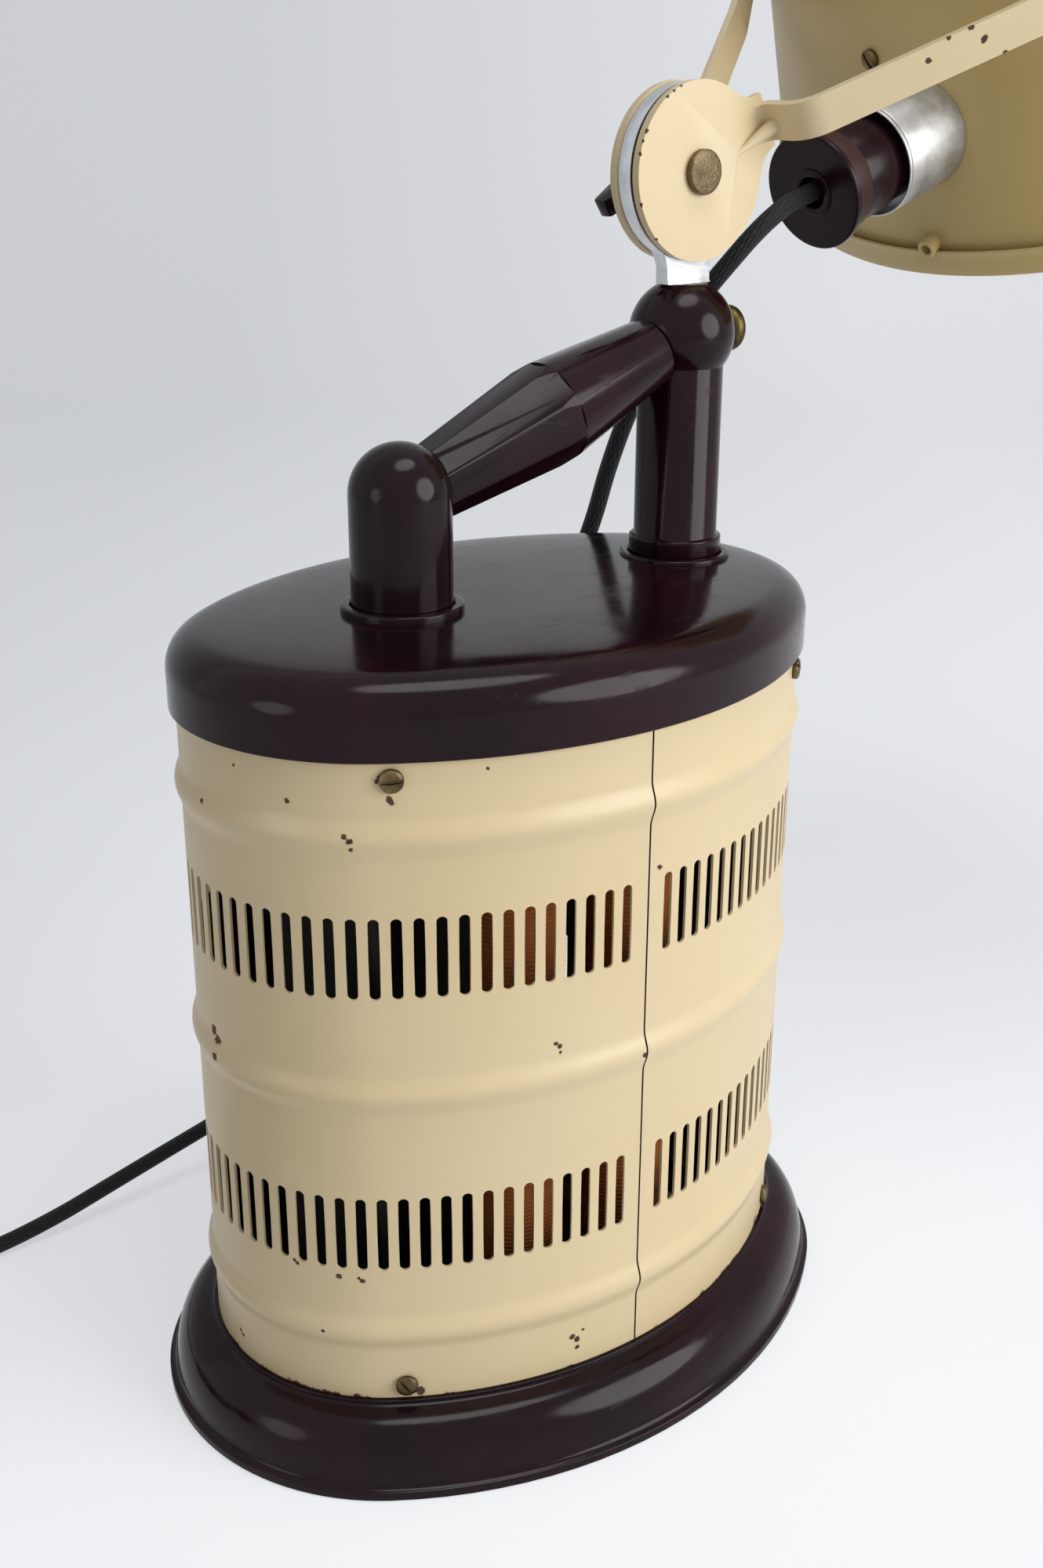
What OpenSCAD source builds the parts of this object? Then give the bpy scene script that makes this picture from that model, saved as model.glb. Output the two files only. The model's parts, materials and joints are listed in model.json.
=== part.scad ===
// Table sun lamp: an oval ballast housing with a carrying handle, a fork and a tilting bell.
// Millimetres, +Z up. The origin is the centre of the underside, +X points towards the bell.

/* [Housing] */
// Half length of the sheet shell
shell_a = 120; // [110:1:135]
// Half width of the sheet shell
shell_b = 84; // [78:1:92]
// Sheet thickness of the shell
shell_wall = 1; // [0.8:0.1:1.4]
// Height of the foot's step that the shell stands on
shell_z0 = 27.5; // [25:0.5:30]
// Height of the lid's lower edge
lid_z0 = 262; // [258:1:280]
// How far the shell reaches up into the lid's rebate
shell_tuck = 3; // [2:0.5:4]
// Distance of the seams from the middle of the long sides
seam_shift = 7.2; // [0:0.1:9]
// Gap between the two half shells
seam_gap = 0.7; // [0.3:0.1:0.8]
// Height of the three beads
bead_out = 2; // [1:0.1:2.4]
// Half width of a bead
bead_half = 8; // [6:0.5:8.5]
// Heights of the three beads
bead_z = [54.7, 146.7, 236.6];

/* [Vent slots] */
// Slots in one row of one half shell
slot_count = 44; // [20:1:44]
// Slot length
slot_len = 28.1; // [20:0.1:30]
// Slot width
slot_wid = 3.7; // [3:0.1:4]
// Distance from slot to slot round the shell
slot_pitch = 7.11; // [6.5:0.01:7.2]
// Middle heights of the two rows
slot_z = [94.2, 196.1];

/* [Foot and lid] */
// How far the foot stands out from the shell
foot_out = 19.5; // [16:0.5:24]
// Height of the foot's thin outer edge
foot_edge = 3.5; // [3:0.5:5]
// Thickness of the inner upstand and of the lid's skirt
skirt_wall = 5; // [4:0.5:6]
// How far the lid stands out from the shell
lid_out = 2.4; // [2:0.1:3.5]
// Height of the lid from its lower edge to its top
lid_h = 27; // [25:0.5:34]
// Radius of the lid's shoulder
lid_round = 13; // [10:0.5:15]
// Thickness of the lid's top
lid_wall = 5; // [4:0.5:6]
// Depth of the lid's skirt inside the shell
lid_skirt = 16; // [12:0.5:17]
// Thickness of the base plate
plate_t = 3; // [2:0.5:4]
// Thickness of the felt under it
felt_t = 1.5; // [1:0.1:2]

/* [Housing screws] */
// Direction of the screw columns, from the middle of the side arcs
screw_dir = 55.3; // [54:0.1:60]
// Height of the lower screws above the foot's step
screw_low = 5.5; // [5:0.1:7]
// Distance of the upper screws below the lid's edge
screw_high = 6; // [5:0.1:8]
// Head radius of the slotted screws
head_r = 3.85; // [3.4:0.05:4.2]
// Head height of the slotted screws
head_h = 2.4; // [2:0.1:3]

/* [Handle] */
// Distance of the front post behind the middle
post_front_x = 42.8; // [38:0.1:46]
// Radius of the front post
post_front_r = 17; // [15:0.1:18]
// Height of the middle of its round top above the lid
post_front_rise = 38; // [34:0.5:44]
// Distance of the rear post before the middle
post_rear_x = 82.3; // [80:0.1:84]
// Radius of the rear post
post_rear_r = 15.3; // [13:0.1:15.5]
// Height of the ball's centre above the lid
ball_rise = 80; // [76:0.5:90]
// Radius of the ball
ball_r = 19; // [18.5:0.1:20]
// Radius of the grip where it is thickest
grip_r = 17.6; // [16.6:0.1:18]
// Radius of the grip's rear end
grip_end_r = 12; // [11:0.1:13]
// Half thickness of the grip's eight flats at the front post
grip_tip = 10.5; // [9.5:0.1:12]
// Where the flats run out, along the grip
grip_crease = 68; // [60:1:76]
// How far the grip's axis lies under the middle of the front post's round top
grip_drop = 2.5; // [1:0.1:4]
// Radius of the steel core of the grip
core_rod_r = 4; // [3:0.1:4.5]

/* [Joint] */
// Height of the tilting joint above the ball's centre
joint_rise = 54.2; // [53.5:0.1:60]
// Radius of the joint's discs
disc_r = 29.6; // [26:0.1:31]
// Thickness of the aluminium tab
tab_t = 5.8; // [5:0.1:7]
// How far the tab stands towards the far arm
tab_shift = 0.5; // [0.3:0.1:0.5]
// Thickness of the stamped arms
arm_t = 3; // [2.5:0.1:3.5]
// Thickness of the near fibre washer
fibre_t = 1.5; // [1.4:0.1:1.7]
// Radius of the joint bolt
bolt_r = 4; // [3:0.1:4.5]
// Radius of the domed bolt heads
dome_r = 7.5; // [6.5:0.1:8.5]
// Height of the domed bolt heads
dome_h = 3; // [2.5:0.1:4]
// Radius of the spigot that turns in the ball
spigot_r = 3.8; // [3.5:0.1:4.2]
// Radius of the thumbscrew's head
thumb_r = 8.25; // [7:0.05:9]
// Thickness of the thumbscrew's head
thumb_t = 6.5; // [5:0.1:8]

/* [Fork] */
// Rise of the fork above the level
fork_rise = 28; // [24:1:32]
// Length from the joint to the bell's pivots
fork_len = 267; // [262:1:275]
// Width of the arm's strip
arm_wid = 13.2; // [12:0.1:15]
// Steep bend beside the disc
arm_bend = 93; // [88:1:96]
// Spread of the arms after the bend
arm_spread = 32; // [31:0.5:34]
// Length of the strip's straight run before it spreads wider
arm_reach = 80; // [76:1:84]
// How far the strip spreads beside the bell
arm_splay = 37; // [36.5:0.5:38]
// Straight piece between the two bends
arm_step = 7; // [6:0.5:9]

/* [Bell] */
// Radius of the bell's mouth
mouth_r = 168; // [162:0.5:170]
// Draft of the bell's wall
bell_draft = 13.6; // [12.5:0.1:15]
// Tilt of the bell's axis at rest
bell_tilt = 33; // [31:0.5:35]
// Sheet thickness of the bell
bell_wall = 1.2; // [1:0.1:1.5]
// Height of the shoulder above the mouth
shoulder_h = 118; // [114:1:124]
// Radius of the shoulder
shoulder_r = 50; // [40:1:60]
// Height of the pivots above the mouth
pivot_h = 89; // [86:0.5:92]
// Height of the rim band
band_h = 10.5; // [8:0.5:12]
// Distance of the reflector inside the bell
liner_gap = 8; // [7.5:0.1:9]
// Sheet thickness of the reflector
liner_wall = 0.8; // [0.6:0.1:1]

/* [Lamp holder] */
// Height above the mouth where the holder's axis meets the wall
holder_h = 54.8; // [53:0.2:56]
// Slope of the holder's axis towards the mouth
holder_drop = 13.6; // [12:0.2:15]
// Length of the holder outside the wall
holder_out = 62.8; // [60:0.1:65]
// Radius of the holder's cap
cap_r = 21.6; // [20.6:0.1:22]
// Outer radius of the aluminium collar
collar_r = 21.2; // [20.8:0.1:21.6]
// Radius of the bulb
bulb_r = 19; // [17:0.1:19.5]
// Length of the bulb's glass
bulb_len = 81; // [70:1:82]

/* [Ballast] */
// Radius of the ceramic cores
core_r = 15; // [13:0.1:16]
// Length of the ceramic cores
core_len = 206; // [190:1:210]
// Distance of the cores from the middle plane
core_y = 42; // [40:0.5:44]
// Places of the two pairs of cores along the housing
core_x = [-28, 23];
// Radius of the wire
wire_r = 1.1; // [0.8:0.1:1.3]
// Turns on each core
wire_turns = 24; // [12:1:24]

/* [Cords] */
// Diameter of the mains lead
mains_d = 6.4; // [6:0.1:6.6]
// Diameter of the lamp lead
lead_d = 7; // [6:0.1:7.1]
// Turns in the mains lead's coil
coil_turns = 6.25; // [4.25:1:6.25]
// Radius of the coil's outer turn
coil_r = 48; // [46:0.5:54]
// Distance between neighbouring turns
coil_pitch = 7; // [7:0.1:8]

/* [Hidden] */
$fn = 64;

cream = [0.91, 0.86, 0.70];
bakelite = [0.10, 0.06, 0.06];
brass = [0.55, 0.47, 0.30];
steel = [0.62, 0.62, 0.62];
aluminium = [0.80, 0.80, 0.81];
cloth = [0.05, 0.05, 0.05];
ceramic = [0.85, 0.82, 0.75];
oxide = [0.45, 0.24, 0.14];

// Clearances
slip = 0.05;
seat_gap = 0.3;
close_gap = 0.1;
rod_r = 3;
nut_r = 5.5;
nut_h = 5;
tiny = 0.01;

// The oval: end arcs of radius end_r about (+-end_c, 0), side arcs of radius side_r about (0, +-side_c).
// The line through two neighbouring centres rises 4 to 3, so every centre and radius is a round number.
end_angle = acos(0.6);
end_r = shell_a - 1.5 * (shell_a - shell_b);
end_c = shell_a - end_r;
side_r = end_r + 2.5 * (shell_a - shell_b);
side_c = side_r - shell_b;
end_arc = end_r * end_angle * PI / 180;
side_arc = side_r * (180 - 2 * end_angle) * PI / 180;
half_round = 2 * end_arc + side_arc;
seam_angle = asin(seam_shift / side_r);
seam_at = end_arc + side_arc / 2 - seam_shift;

// Heights
plate_z0 = felt_t;
plate_z1 = felt_t + plate_t;
ledge_h = 5;
lid_z1 = lid_z0 + lid_h;
lid_under = lid_z1 - lid_wall;
ring_off = 40;
lid_fall = 1.5;
boss_drop = 2;
recess = 1.5;
nut_z = lid_under - boss_drop - nut_h;
upstand_z1 = shell_z0 + 13.5;
skirt_off = shell_wall + seat_gap;
rod_x = 80;
rod_y = 30;

// Handle and joint places
post_z = lid_z1 + post_front_rise;
ball_z = lid_z1 + ball_rise;
joint_z = ball_z + joint_rise;
grip_z = post_z - grip_drop;
grip_run = post_rear_x + post_front_x;
grip_slope = atan((ball_z - grip_z) / grip_run);
grip_axis = sqrt(pow(grip_run, 2) + pow(ball_z - grip_z, 2));
ball_flat = ball_z + 17;
bush_r = 8;
bush_z0 = ball_z - 12;
bush_z1 = ball_flat - 3.5;
grip_end = 16.8;
tab_y0 = tab_shift - tab_t / 2;
tab_y1 = tab_shift + tab_t / 2;
disc_y0 = fibre_t - tab_y0 + 2 * slip;
disc_y1 = disc_y0 + arm_t;

// Bell: the wall's line, the shoulder's arc and the crown's arc run on into each other
draft_tan = tan(bell_draft);
shoulder_x = mouth_r - draft_tan * shoulder_h - shoulder_r * cos(bell_draft);
shoulder_z = shoulder_h - shoulder_r * sin(bell_draft);
crown_dir = 75;
crown_r = shoulder_r + shoulder_x / cos(crown_dir);
crown_z = shoulder_z - shoulder_x * tan(crown_dir);
function wall_r(h) = mouth_r - draft_tan * h;
function bell_line(off, h0) = concat(
  [[wall_r(h0) - off / cos(bell_draft), h0]],
  [for (i = [0:6])
    let (a = bell_draft + (crown_dir - bell_draft) * i / 6)
    [shoulder_x + (shoulder_r - off) * cos(a), shoulder_z + (shoulder_r - off) * sin(a)]],
  [for (i = [1:4])
    let (a = crown_dir + (90 - crown_dir) * i / 4)
    [(crown_r - off) * cos(a), crown_z + (crown_r - off) * sin(a)]]
);
function backwards(list) = [for (i = [len(list) - 1:-1:0]) list[i]];

// Pivots of the bell at the fork's ends
boss_y = wall_r(pivot_h) + 3;
washer_t = 0.9;
arm_end_y0 = boss_y + washer_t + 2 * slip;
arm_end_y1 = arm_end_y0 + arm_t;
pivot_r = 3;
boss_r = 11;
holder_wall_r = wall_r(holder_h);
bulb_foot = 8;
cap_thread_r = 12.9;
eyelet_r = 4;
eyelet_h = 12;
liner_screw_h = 81;
liner_screw_dir = 7.4;

// Ballast heights
bush_low = 27.5;
core_z0 = plate_z1 + bush_low;
core_z1 = core_z0 + core_len;
bush_high = 5;
top_plate_z = core_z1 + bush_high;
wire_rings = 9;
wire_path_r = (core_r + wire_r + 2 * close_gap) / cos(180 / wire_rings);
wire_pitch = (core_len - 12) / wire_turns;

// Leads: where they leave the shell, as directions from the middle of the side arc
lead_dir = 59;
lead_z = 221;
mains_dir = 80;
mains_z = 38;
lead_r = lead_d / 2;
mains_r = mains_d / 2;

// Route of the lamp lead, chosen by hand, from the housing to the lamp holder
lead_start = [[77.8, 57.4, 221], [84, 67.8, 221]];
lower_route = concat(lead_start, [
  [87.6, 73.2, 223.4], [90.8, 76.4, 229.5], [94, 77.8, 238.5], [97.2, 77.5, 250], [100, 75, 263],
  [101.5, 71, 277], [102.5, 66, 291], [102, 60, 306], [101, 53, 320], [100, 45.5, 333],
  [100, 37, 346], [100.6, 28, 358]
]);
middle_route = [
  [100.6, 28, 358], [102.5, 19, 370], [106, 11, 382], [112, 5.5, 392], [119, 2.5, 400]
];
upper_route = [
  [119, 2.5, 400], [127, 0.8, 406.5], [136, 0, 411.5], [146, 0, 414.6]
];

// Route of the mains lead, chosen by hand, from the housing to the coil on the floor
mains_route = [
  [25.4, 71.8, 38], [29.2, 93.4, 38], [31.6, 107.2, 38], [30, 122, 36.6], [20.5, 135.5, 34],
  [4, 143.6, 30.8], [-16, 146, 28], [-36, 146, 25], [-56, 145.4, 21.6], [-78, 145.2, 17.4],
  [-100, 145.4, 12.8], [-122, 146, 8], [-144, 147, 4.6], [-166, 147.9, 3.35], [-191, 148, 3.2],
  [-192, 148, 3.2]
];
coil_x = -237;
coil_y = 100;
tail_route = [[-285, 93.6, 10.2], [-285, 92.6, 10.2], [-285, 85, 12], [-285, 78, 15.4], [-285, 71, 17],
  [-285, 70, 17]];
plug_len = 42;
pin_r = 2.4;
pin_len = 19;
pin_gap = 19;

// A smooth line through hand-chosen points
function mid_curve(a, b, c, d, t) = 0.5 * (2 * b + (c - a) * t + (2 * a - 5 * b + 4 * c - d) * t * t
  + (3 * b - a - 3 * c + d) * t * t * t);
function smooth(p, steps) = concat(
  [for (i = [0:len(p) - 2], j = [0:steps - 1])
    mid_curve(p[max(i - 1, 0)], p[i], p[i + 1], p[min(i + 2, len(p) - 1)], j / steps)],
  [p[len(p) - 1]]
);
function unit(v) = v / norm(v);
function length_of(p, i = 0) = i >= len(p) - 1 ? 0 : norm(p[i + 1] - p[i]) + length_of(p, i + 1);

// The coil spirals in on the floor, climbs a layer in the half turn where it reverses, and out again
function coil_point(t) =
  let (
    half = coil_turns / 2,
    r = coil_r - coil_pitch * (half - abs(t - half)),
    climb = max(0, min(1, (t - half) * 2 + 0.5)),
    z = mains_r + coil_pitch * (climb * climb * (3 - 2 * climb)),
    a = 90 + 360 * t
  )
  [coil_x + r * cos(a), coil_y + r * sin(a), z];
coil_rings = 22;
coil_steps = round(coil_turns * coil_rings);
coil_path = [for (i = [0:coil_steps]) coil_point(coil_turns * i / coil_steps)];
function least_gap(p, skip, width) =
  min([for (i = [0:len(p) - 1 - skip]) min([for (j = [i + skip:len(p) - 1]) norm(p[i] - p[j])])]) - width;
function wire_path(x, y, z0) =
  [for (i = [0:wire_turns * wire_rings])
    let (a = 360 * i / wire_rings)
    [x + wire_path_r * cos(a), y + wire_path_r * sin(a), z0 + wire_pitch * i / wire_rings]];
echo(coil_least_gap = least_gap(coil_path, round(coil_rings / 2), mains_d));
echo(wire_least_gap = least_gap(wire_path(0, 0, 0), round(wire_rings / 2), 2 * wire_r));
echo(mains_length = length_of(smooth(mains_route, 3)) + length_of(coil_path) + length_of(tail_route));
echo(lead_length = length_of(lower_route) + length_of(middle_route) + length_of(upper_route));
echo(oval = [end_r, side_r, 2 * half_round]);

// A tube swept along points, its rings square to the line, level with the given direction.
// Tubes that go on into each other name the points before and after, so that their ends share a plane.
module tube(p, r, sides, up = [0, 0, 1], turned = 0, before = undef, after = undef) {
  n = len(p);
  p_before = is_undef(before) ? p[0] : before;
  p_after = is_undef(after) ? p[n - 1] : after;
  rings = [for (i = [0:n - 1])
    let (
      t = unit((i == n - 1 ? p_after : p[i + 1]) - (i == 0 ? p_before : p[i - 1])),
      s = unit(cross(t, up)),
      u = cross(s, t)
    )
    for (k = [0:sides - 1])
      let (a = 360 * k / sides + turned)
      p[i] + r * (cos(a) * s + sin(a) * u)];
  walls = [for (i = [0:n - 2], k = [0:sides - 1])
    let (a = i * sides + k, b = i * sides + (k + 1) % sides)
    each [[a, b, b + sides], [a, b + sides, a + sides]]];
  first_cap = [for (k = [1:sides - 2]) [0, k + 1, k]];
  last = (n - 1) * sides;
  last_cap = [for (k = [1:sides - 2]) [last, last + k, last + k + 1]];
  polyhedron(rings, concat(walls, first_cap, last_cap));
}

// A profile drawn as (distance out from the shell, height), along an end arc and along a side arc.
// Both start where the two arcs meet, and reach past the middle of their arc.
past_middle = 7;
end_span = end_angle + past_middle;
side_span = 90 - end_angle + past_middle;
module end_piece() {
  translate([end_c, 0, 0]) rotate(-end_angle)
    rotate_extrude(angle = end_span) translate([end_r, 0]) children();
}
module side_piece(span) {
  translate([0, -side_c, 0]) rotate(end_angle)
    rotate_extrude(angle = span) translate([side_r, 0]) children();
}
module round_oval() {
  for (x = [0, 1], y = [0, 1]) mirror([x, 0, 0]) mirror([0, y, 0]) {
    end_piece() children();
    side_piece(side_span) children();
  }
}

// A flat oval, a given distance out from the shell
module oval_plate(off, z0, z1) {
  for (x = [0, 1], y = [0, 1]) mirror([x, 0, 0]) mirror([0, y, 0]) {
    translate([end_c, 0, 0]) rotate(-end_angle)
      rotate_extrude(angle = end_span) translate([0, z0]) square([end_r + off, z1 - z0]);
    translate([0, -side_c, 0]) rotate(end_angle)
      rotate_extrude(angle = side_span) translate([0, z0]) square([side_r + off, z1 - z0]);
  }
}

// Moves to a place on the shell: a distance round it from the +X end, X outwards
module on_shell(s) {
  r = s < end_arc || s >= end_arc + side_arc ? end_r : side_r;
  a = s < end_arc ? s / end_r * 180 / PI
    : s < end_arc + side_arc ? end_angle + (s - end_arc) / side_r * 180 / PI
    : 180 - end_angle + (s - end_arc - side_arc) / end_r * 180 / PI;
  c = s < end_arc ? [end_c, 0, 0] : s < end_arc + side_arc ? [0, -side_c, 0] : [-end_c, 0, 0];
  translate(c) rotate(a) translate([r, 0, 0]) children();
}

// Moves to a direction on a side arc, X outwards
module on_side(dir) {
  translate([0, -side_c, 0]) rotate(dir) translate([side_r, 0, 0]) children();
}

// Repeats a housing screw's place at the four columns and two heights
module at_screws(heights) {
  for (side = [0, 180], dir = [screw_dir, 180 - screw_dir], z = heights)
    rotate(side) on_side(dir) translate([0, 0, z]) rotate([0, 90, 0]) children();
}
module at_rods() {
  for (x = [-rod_x, rod_x], y = [-rod_y, rod_y]) translate([x, y, 0]) children();
}
module at_cores() {
  for (x = core_x, y = [-core_y, core_y]) translate([x, y, 0]) children();
}
module at_posts() {
  translate([-post_front_x, 0, 0]) children();
  translate([post_rear_x, 0, 0]) children();
}
screw_heights = [shell_z0 + screw_low, lid_z0 - screw_high];

// Frames of the handle, the fork, the bell and the holder
module at_grip() {
  translate([-post_front_x, 0, grip_z]) rotate([0, 90 - grip_slope, 0]) children();
}
module at_ball() {
  translate([post_rear_x, 0, ball_z]) children();
}
module at_joint() {
  translate([post_rear_x, 0, joint_z]) children();
}
module in_fork() {
  at_joint() rotate([0, -fork_rise, 0]) children();
}
module at_bell() {
  in_fork() translate([fork_len, 0, 0]) rotate([0, fork_rise - bell_tilt, 0])
    translate([0, 0, -pivot_h]) children();
}
module at_holder() {
  at_bell() translate([-holder_wall_r, 0, holder_h]) rotate([0, 90 + holder_drop, 0]) children();
}
module at_liner_screws() {
  for (a = [0, 120, 240])
    rotate(180 - liner_screw_dir + a) translate([wall_r(liner_screw_h), 0, liner_screw_h])
      rotate([0, 90 - bell_draft, 0]) children();
}

// A slotted round-headed screw: the head's seat is at z = 0, the shank points down
module slotted_screw(shank_r, shank_len, hr, hh) {
  difference() {
    union() {
      cylinder(r = hr, h = 0.6 * hh);
      translate([0, 0, 0.6 * hh - tiny]) cylinder(r1 = hr, r2 = 0.62 * hr, h = 0.4 * hh);
      translate([0, 0, -shank_len]) cylinder(r = shank_r, h = shank_len + tiny);
    }
    translate([-hr, -0.6, 0.5 * hh]) cube([2 * hr, 1.2, hh]);
  }
}

// A domed bolt head: the seat is at z = 0
module domed_head(r, h) {
  cap_sphere = (r * r + h * h) / (2 * h);
  intersection() {
    translate([0, 0, h - cap_sphere]) sphere(r = cap_sphere);
    cylinder(r = r, h = h + 1);
  }
}

// Foot: upstand inside the shell, step under it, round swell and thin outer edge
module foot() {
  color(bakelite) difference() {
    round_oval() polygon(concat(
      [
        [-16, plate_z1], [-16, plate_z1 + ledge_h], [-skirt_off - skirt_wall, plate_z1 + ledge_h + 5],
        [-skirt_off - skirt_wall, upstand_z1], [-skirt_off, upstand_z1], [-skirt_off, shell_z0],
        [1.6, shell_z0], [1.6, shell_z0 - 1.6], [3.2, shell_z0 - 2.2]
      ],
      [for (a = [80:-10:10])
        [foot_out - 15.5 + 12.5 * cos(a), foot_edge + 1.6 + (shell_z0 - foot_edge - 4.4) * sin(a)]],
      [[foot_out - 2.8, foot_edge + 1], [foot_out - 1, foot_edge], [foot_out, foot_edge - 1],
        [foot_out, 0], [-6, 0], [-6, plate_z1]]
    ));
    at_screws([screw_heights[0]]) translate([0, 0, -14]) cylinder(r = 2 + slip, h = 14);
    on_side(mains_dir) translate([-18, 0, mains_z]) rotate([0, 90, 0]) cylinder(r = gland_r + slip, h = 20);
  }
}

// Steel plate under the foot's ledge, with threads for all the upright rods
module base_plate() {
  color(steel) difference() {
    oval_plate(-6 - seat_gap, plate_z0, plate_z1 - slip);
    at_rods() translate([0, 0, -1]) cylinder(r = rod_r + slip, h = 10);
    at_cores() translate([0, 0, -1]) cylinder(r = rod_r + slip, h = 10);
  }
}

module base_felt() {
  color("darkgreen") oval_plate(-6 - 2 * seat_gap, 0, felt_t);
}

module tie_rods() {
  color(steel) at_rods() translate([0, 0, plate_z0]) cylinder(r = rod_r, h = lid_under - 2 - plate_z0);
}

// Hexagon nuts on the tie rods, on the ballast rods and under the lid
module nut() {
  difference() {
    cylinder(r = nut_r / cos(30), h = nut_h, $fn = 6);
    translate([0, 0, -1]) cylinder(r = rod_r + slip, h = nut_h + 2);
  }
}
module rod_nuts() {
  color(steel) {
    at_rods() translate([0, 0, plate_z1]) nut();
    at_cores() translate([0, 0, top_plate_z + 1.5]) nut();
    at_posts() translate([0, 0, nut_z]) nut();
  }
}

// One half shell: sheet with three beads, two rows of slots and its screw holes
function bead(z) =
  max([for (c = bead_z) abs(z - c) < bead_half ? bead_out * (1 + cos(180 * (z - c) / bead_half)) / 2 : 0]);
shell_levels = concat(
  [shell_z0],
  [for (c = bead_z, i = [-4:4]) c + bead_half * i / 4],
  [lid_z0 + shell_tuck]
);
shell_sheet = concat(
  [for (z = shell_levels) [bead(z), z]],
  [for (z = backwards(shell_levels)) [bead(z) - shell_wall, z]]
);
module slot_cut() {
  rotate([0, 90, 0]) translate([0, 0, -4]) linear_extrude(8) {
    square([slot_len - slot_wid, slot_wid], center = true);
    for (end = [-1, 1]) translate([end * (slot_len - slot_wid) / 2, 0]) circle(r = slot_wid / 2, $fn = 24);
  }
}
module half_shell() {
  half_gap = seam_gap / 2 / side_r * 180 / PI;
  to_middle = 90 - end_angle;
  difference() {
    union() {
      mirror([1, 0, 0]) side_piece(to_middle + seam_angle - half_gap) polygon(shell_sheet);
      for (y = [0, 1]) mirror([1, 0, 0]) mirror([0, y, 0]) end_piece() polygon(shell_sheet);
      rotate(180) side_piece(to_middle - seam_angle - half_gap) polygon(shell_sheet);
    }
    for (i = [0:slot_count - 1], z = slot_z) shell_slot(i, z);
    for (z = screw_heights) {
      on_side(180 - screw_dir) translate([-4, 0, z]) rotate([0, 90, 0]) cylinder(r = 2.3, h = 8);
      rotate(180) on_side(screw_dir) translate([-4, 0, z]) rotate([0, 90, 0]) cylinder(r = 2.3, h = 8);
    }
  }
}
// The slots are spread evenly between the two seams
module shell_slot(i, z) {
  s = seam_at + half_round / 2 + slot_pitch * (i - (slot_count - 1) / 2);
  if (s < half_round + end_arc) on_shell(s) translate([0, 0, z]) slot_cut();
  else rotate(180) on_shell(s - half_round) translate([0, 0, z]) slot_cut();
}
module shell_left() {
  color(cream) half_shell();
}
module shell_right() {
  color(cream) difference() {
    rotate(180) half_shell();
    on_side(lead_dir) translate([-6, 0, lead_z]) rotate([0, 90, 0]) cylinder(r = lead_r + 1.5 + slip, h = 12);
    on_side(mains_dir) translate([-6, 0, mains_z]) rotate([0, 90, 0]) cylinder(r = gland_r + slip, h = 12);
  }
}

module shell_screws() {
  color(brass) at_screws(screw_heights) rotate(20) translate([0, 0, slip]) slotted_screw(2, 7, head_r, head_h);
}

// Lid: shoulder, slightly domed top, skirt inside the shell, bosses for the rods and posts
module lid() {
  shoulder_off = lid_out - lid_round;
  shoulder_up = lid_z1 - lid_fall - lid_round;
  color(bakelite) difference() {
    union() {
      round_oval() polygon(concat(
        [for (a = [0:10:90]) [shoulder_off + lid_round * cos(a), shoulder_up + lid_round * sin(a)]],
        [[-ring_off + 3, lid_z1], [-ring_off, lid_z1], [-ring_off, lid_under],
          [-ring_off + 3, lid_under], [-lid_round - 2, lid_under - lid_fall],
          [-skirt_off - skirt_wall, lid_under - 8], [-skirt_off - skirt_wall, lid_z0 - lid_skirt],
          [-skirt_off, lid_z0 - lid_skirt], [-skirt_off, lid_z0 + shell_tuck + seat_gap],
          [seat_gap, lid_z0 + shell_tuck + seat_gap], [seat_gap, lid_z0], [lid_out, lid_z0]]
      ));
      oval_plate(-ring_off + 1.5, lid_under, lid_z1);
      at_rods() translate([0, 0, lid_under - 14]) cylinder(r = 7, h = 15);
      at_posts() translate([0, 0, lid_under - boss_drop]) cylinder(r = 13, h = boss_drop + 1);
      translate([-post_front_x, 0, lid_under]) cylinder(r = post_front_r + 3.6, h = lid_wall + 2.4);
      translate([post_rear_x, 0, lid_under]) cylinder(r = post_rear_r + 5, h = lid_wall + 1.2);
    }
    translate([-post_front_x, 0, lid_z1 - recess]) cylinder(r = post_front_r + close_gap, h = 10);
    translate([post_rear_x, 0, lid_z1 - recess]) cylinder(r = post_rear_r + 1.7 + close_gap, h = 10);
    at_posts() translate([0, 0, lid_under - 10]) cylinder(r = rod_r + slip, h = 20);
    at_rods() translate([0, 0, lid_under - 20]) cylinder(r = rod_r + slip, h = 18.5);
    at_screws([screw_heights[1]]) translate([0, 0, -14]) cylinder(r = 2 + slip, h = 14);
  }
}

// Ballast: wound ceramic tubes upright on rods between the base plate and a top plate
module ballast_cores() {
  color(ceramic) at_cores() difference() {
    translate([0, 0, core_z0 + slip]) cylinder(r = core_r, h = core_len - 2 * slip);
    translate([0, 0, core_z0 - 1]) cylinder(r = core_r - 4, h = core_len + 2);
  }
}
module ballast_windings() {
  color(oxide) for (x = core_x, y = [-core_y, core_y])
    tube(wire_path(x, y, core_z0 + 6), wire_r, 4);
}
module tube_bushes() {
  color(ceramic) at_cores() difference() {
    union() {
      translate([0, 0, plate_z1]) cylinder(r = 9, h = bush_low);
      translate([0, 0, core_z0 - 4]) cylinder(r = core_r - 1, h = 4);
      translate([0, 0, core_z1]) cylinder(r = core_r - 1, h = bush_high);
    }
    translate([0, 0, 0]) cylinder(r = rod_r + close_gap, h = top_plate_z + 10);
  }
}
module tube_rods() {
  color(steel) at_cores() translate([0, 0, plate_z0]) cylinder(r = rod_r, h = top_plate_z + 8 - plate_z0);
}
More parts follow.
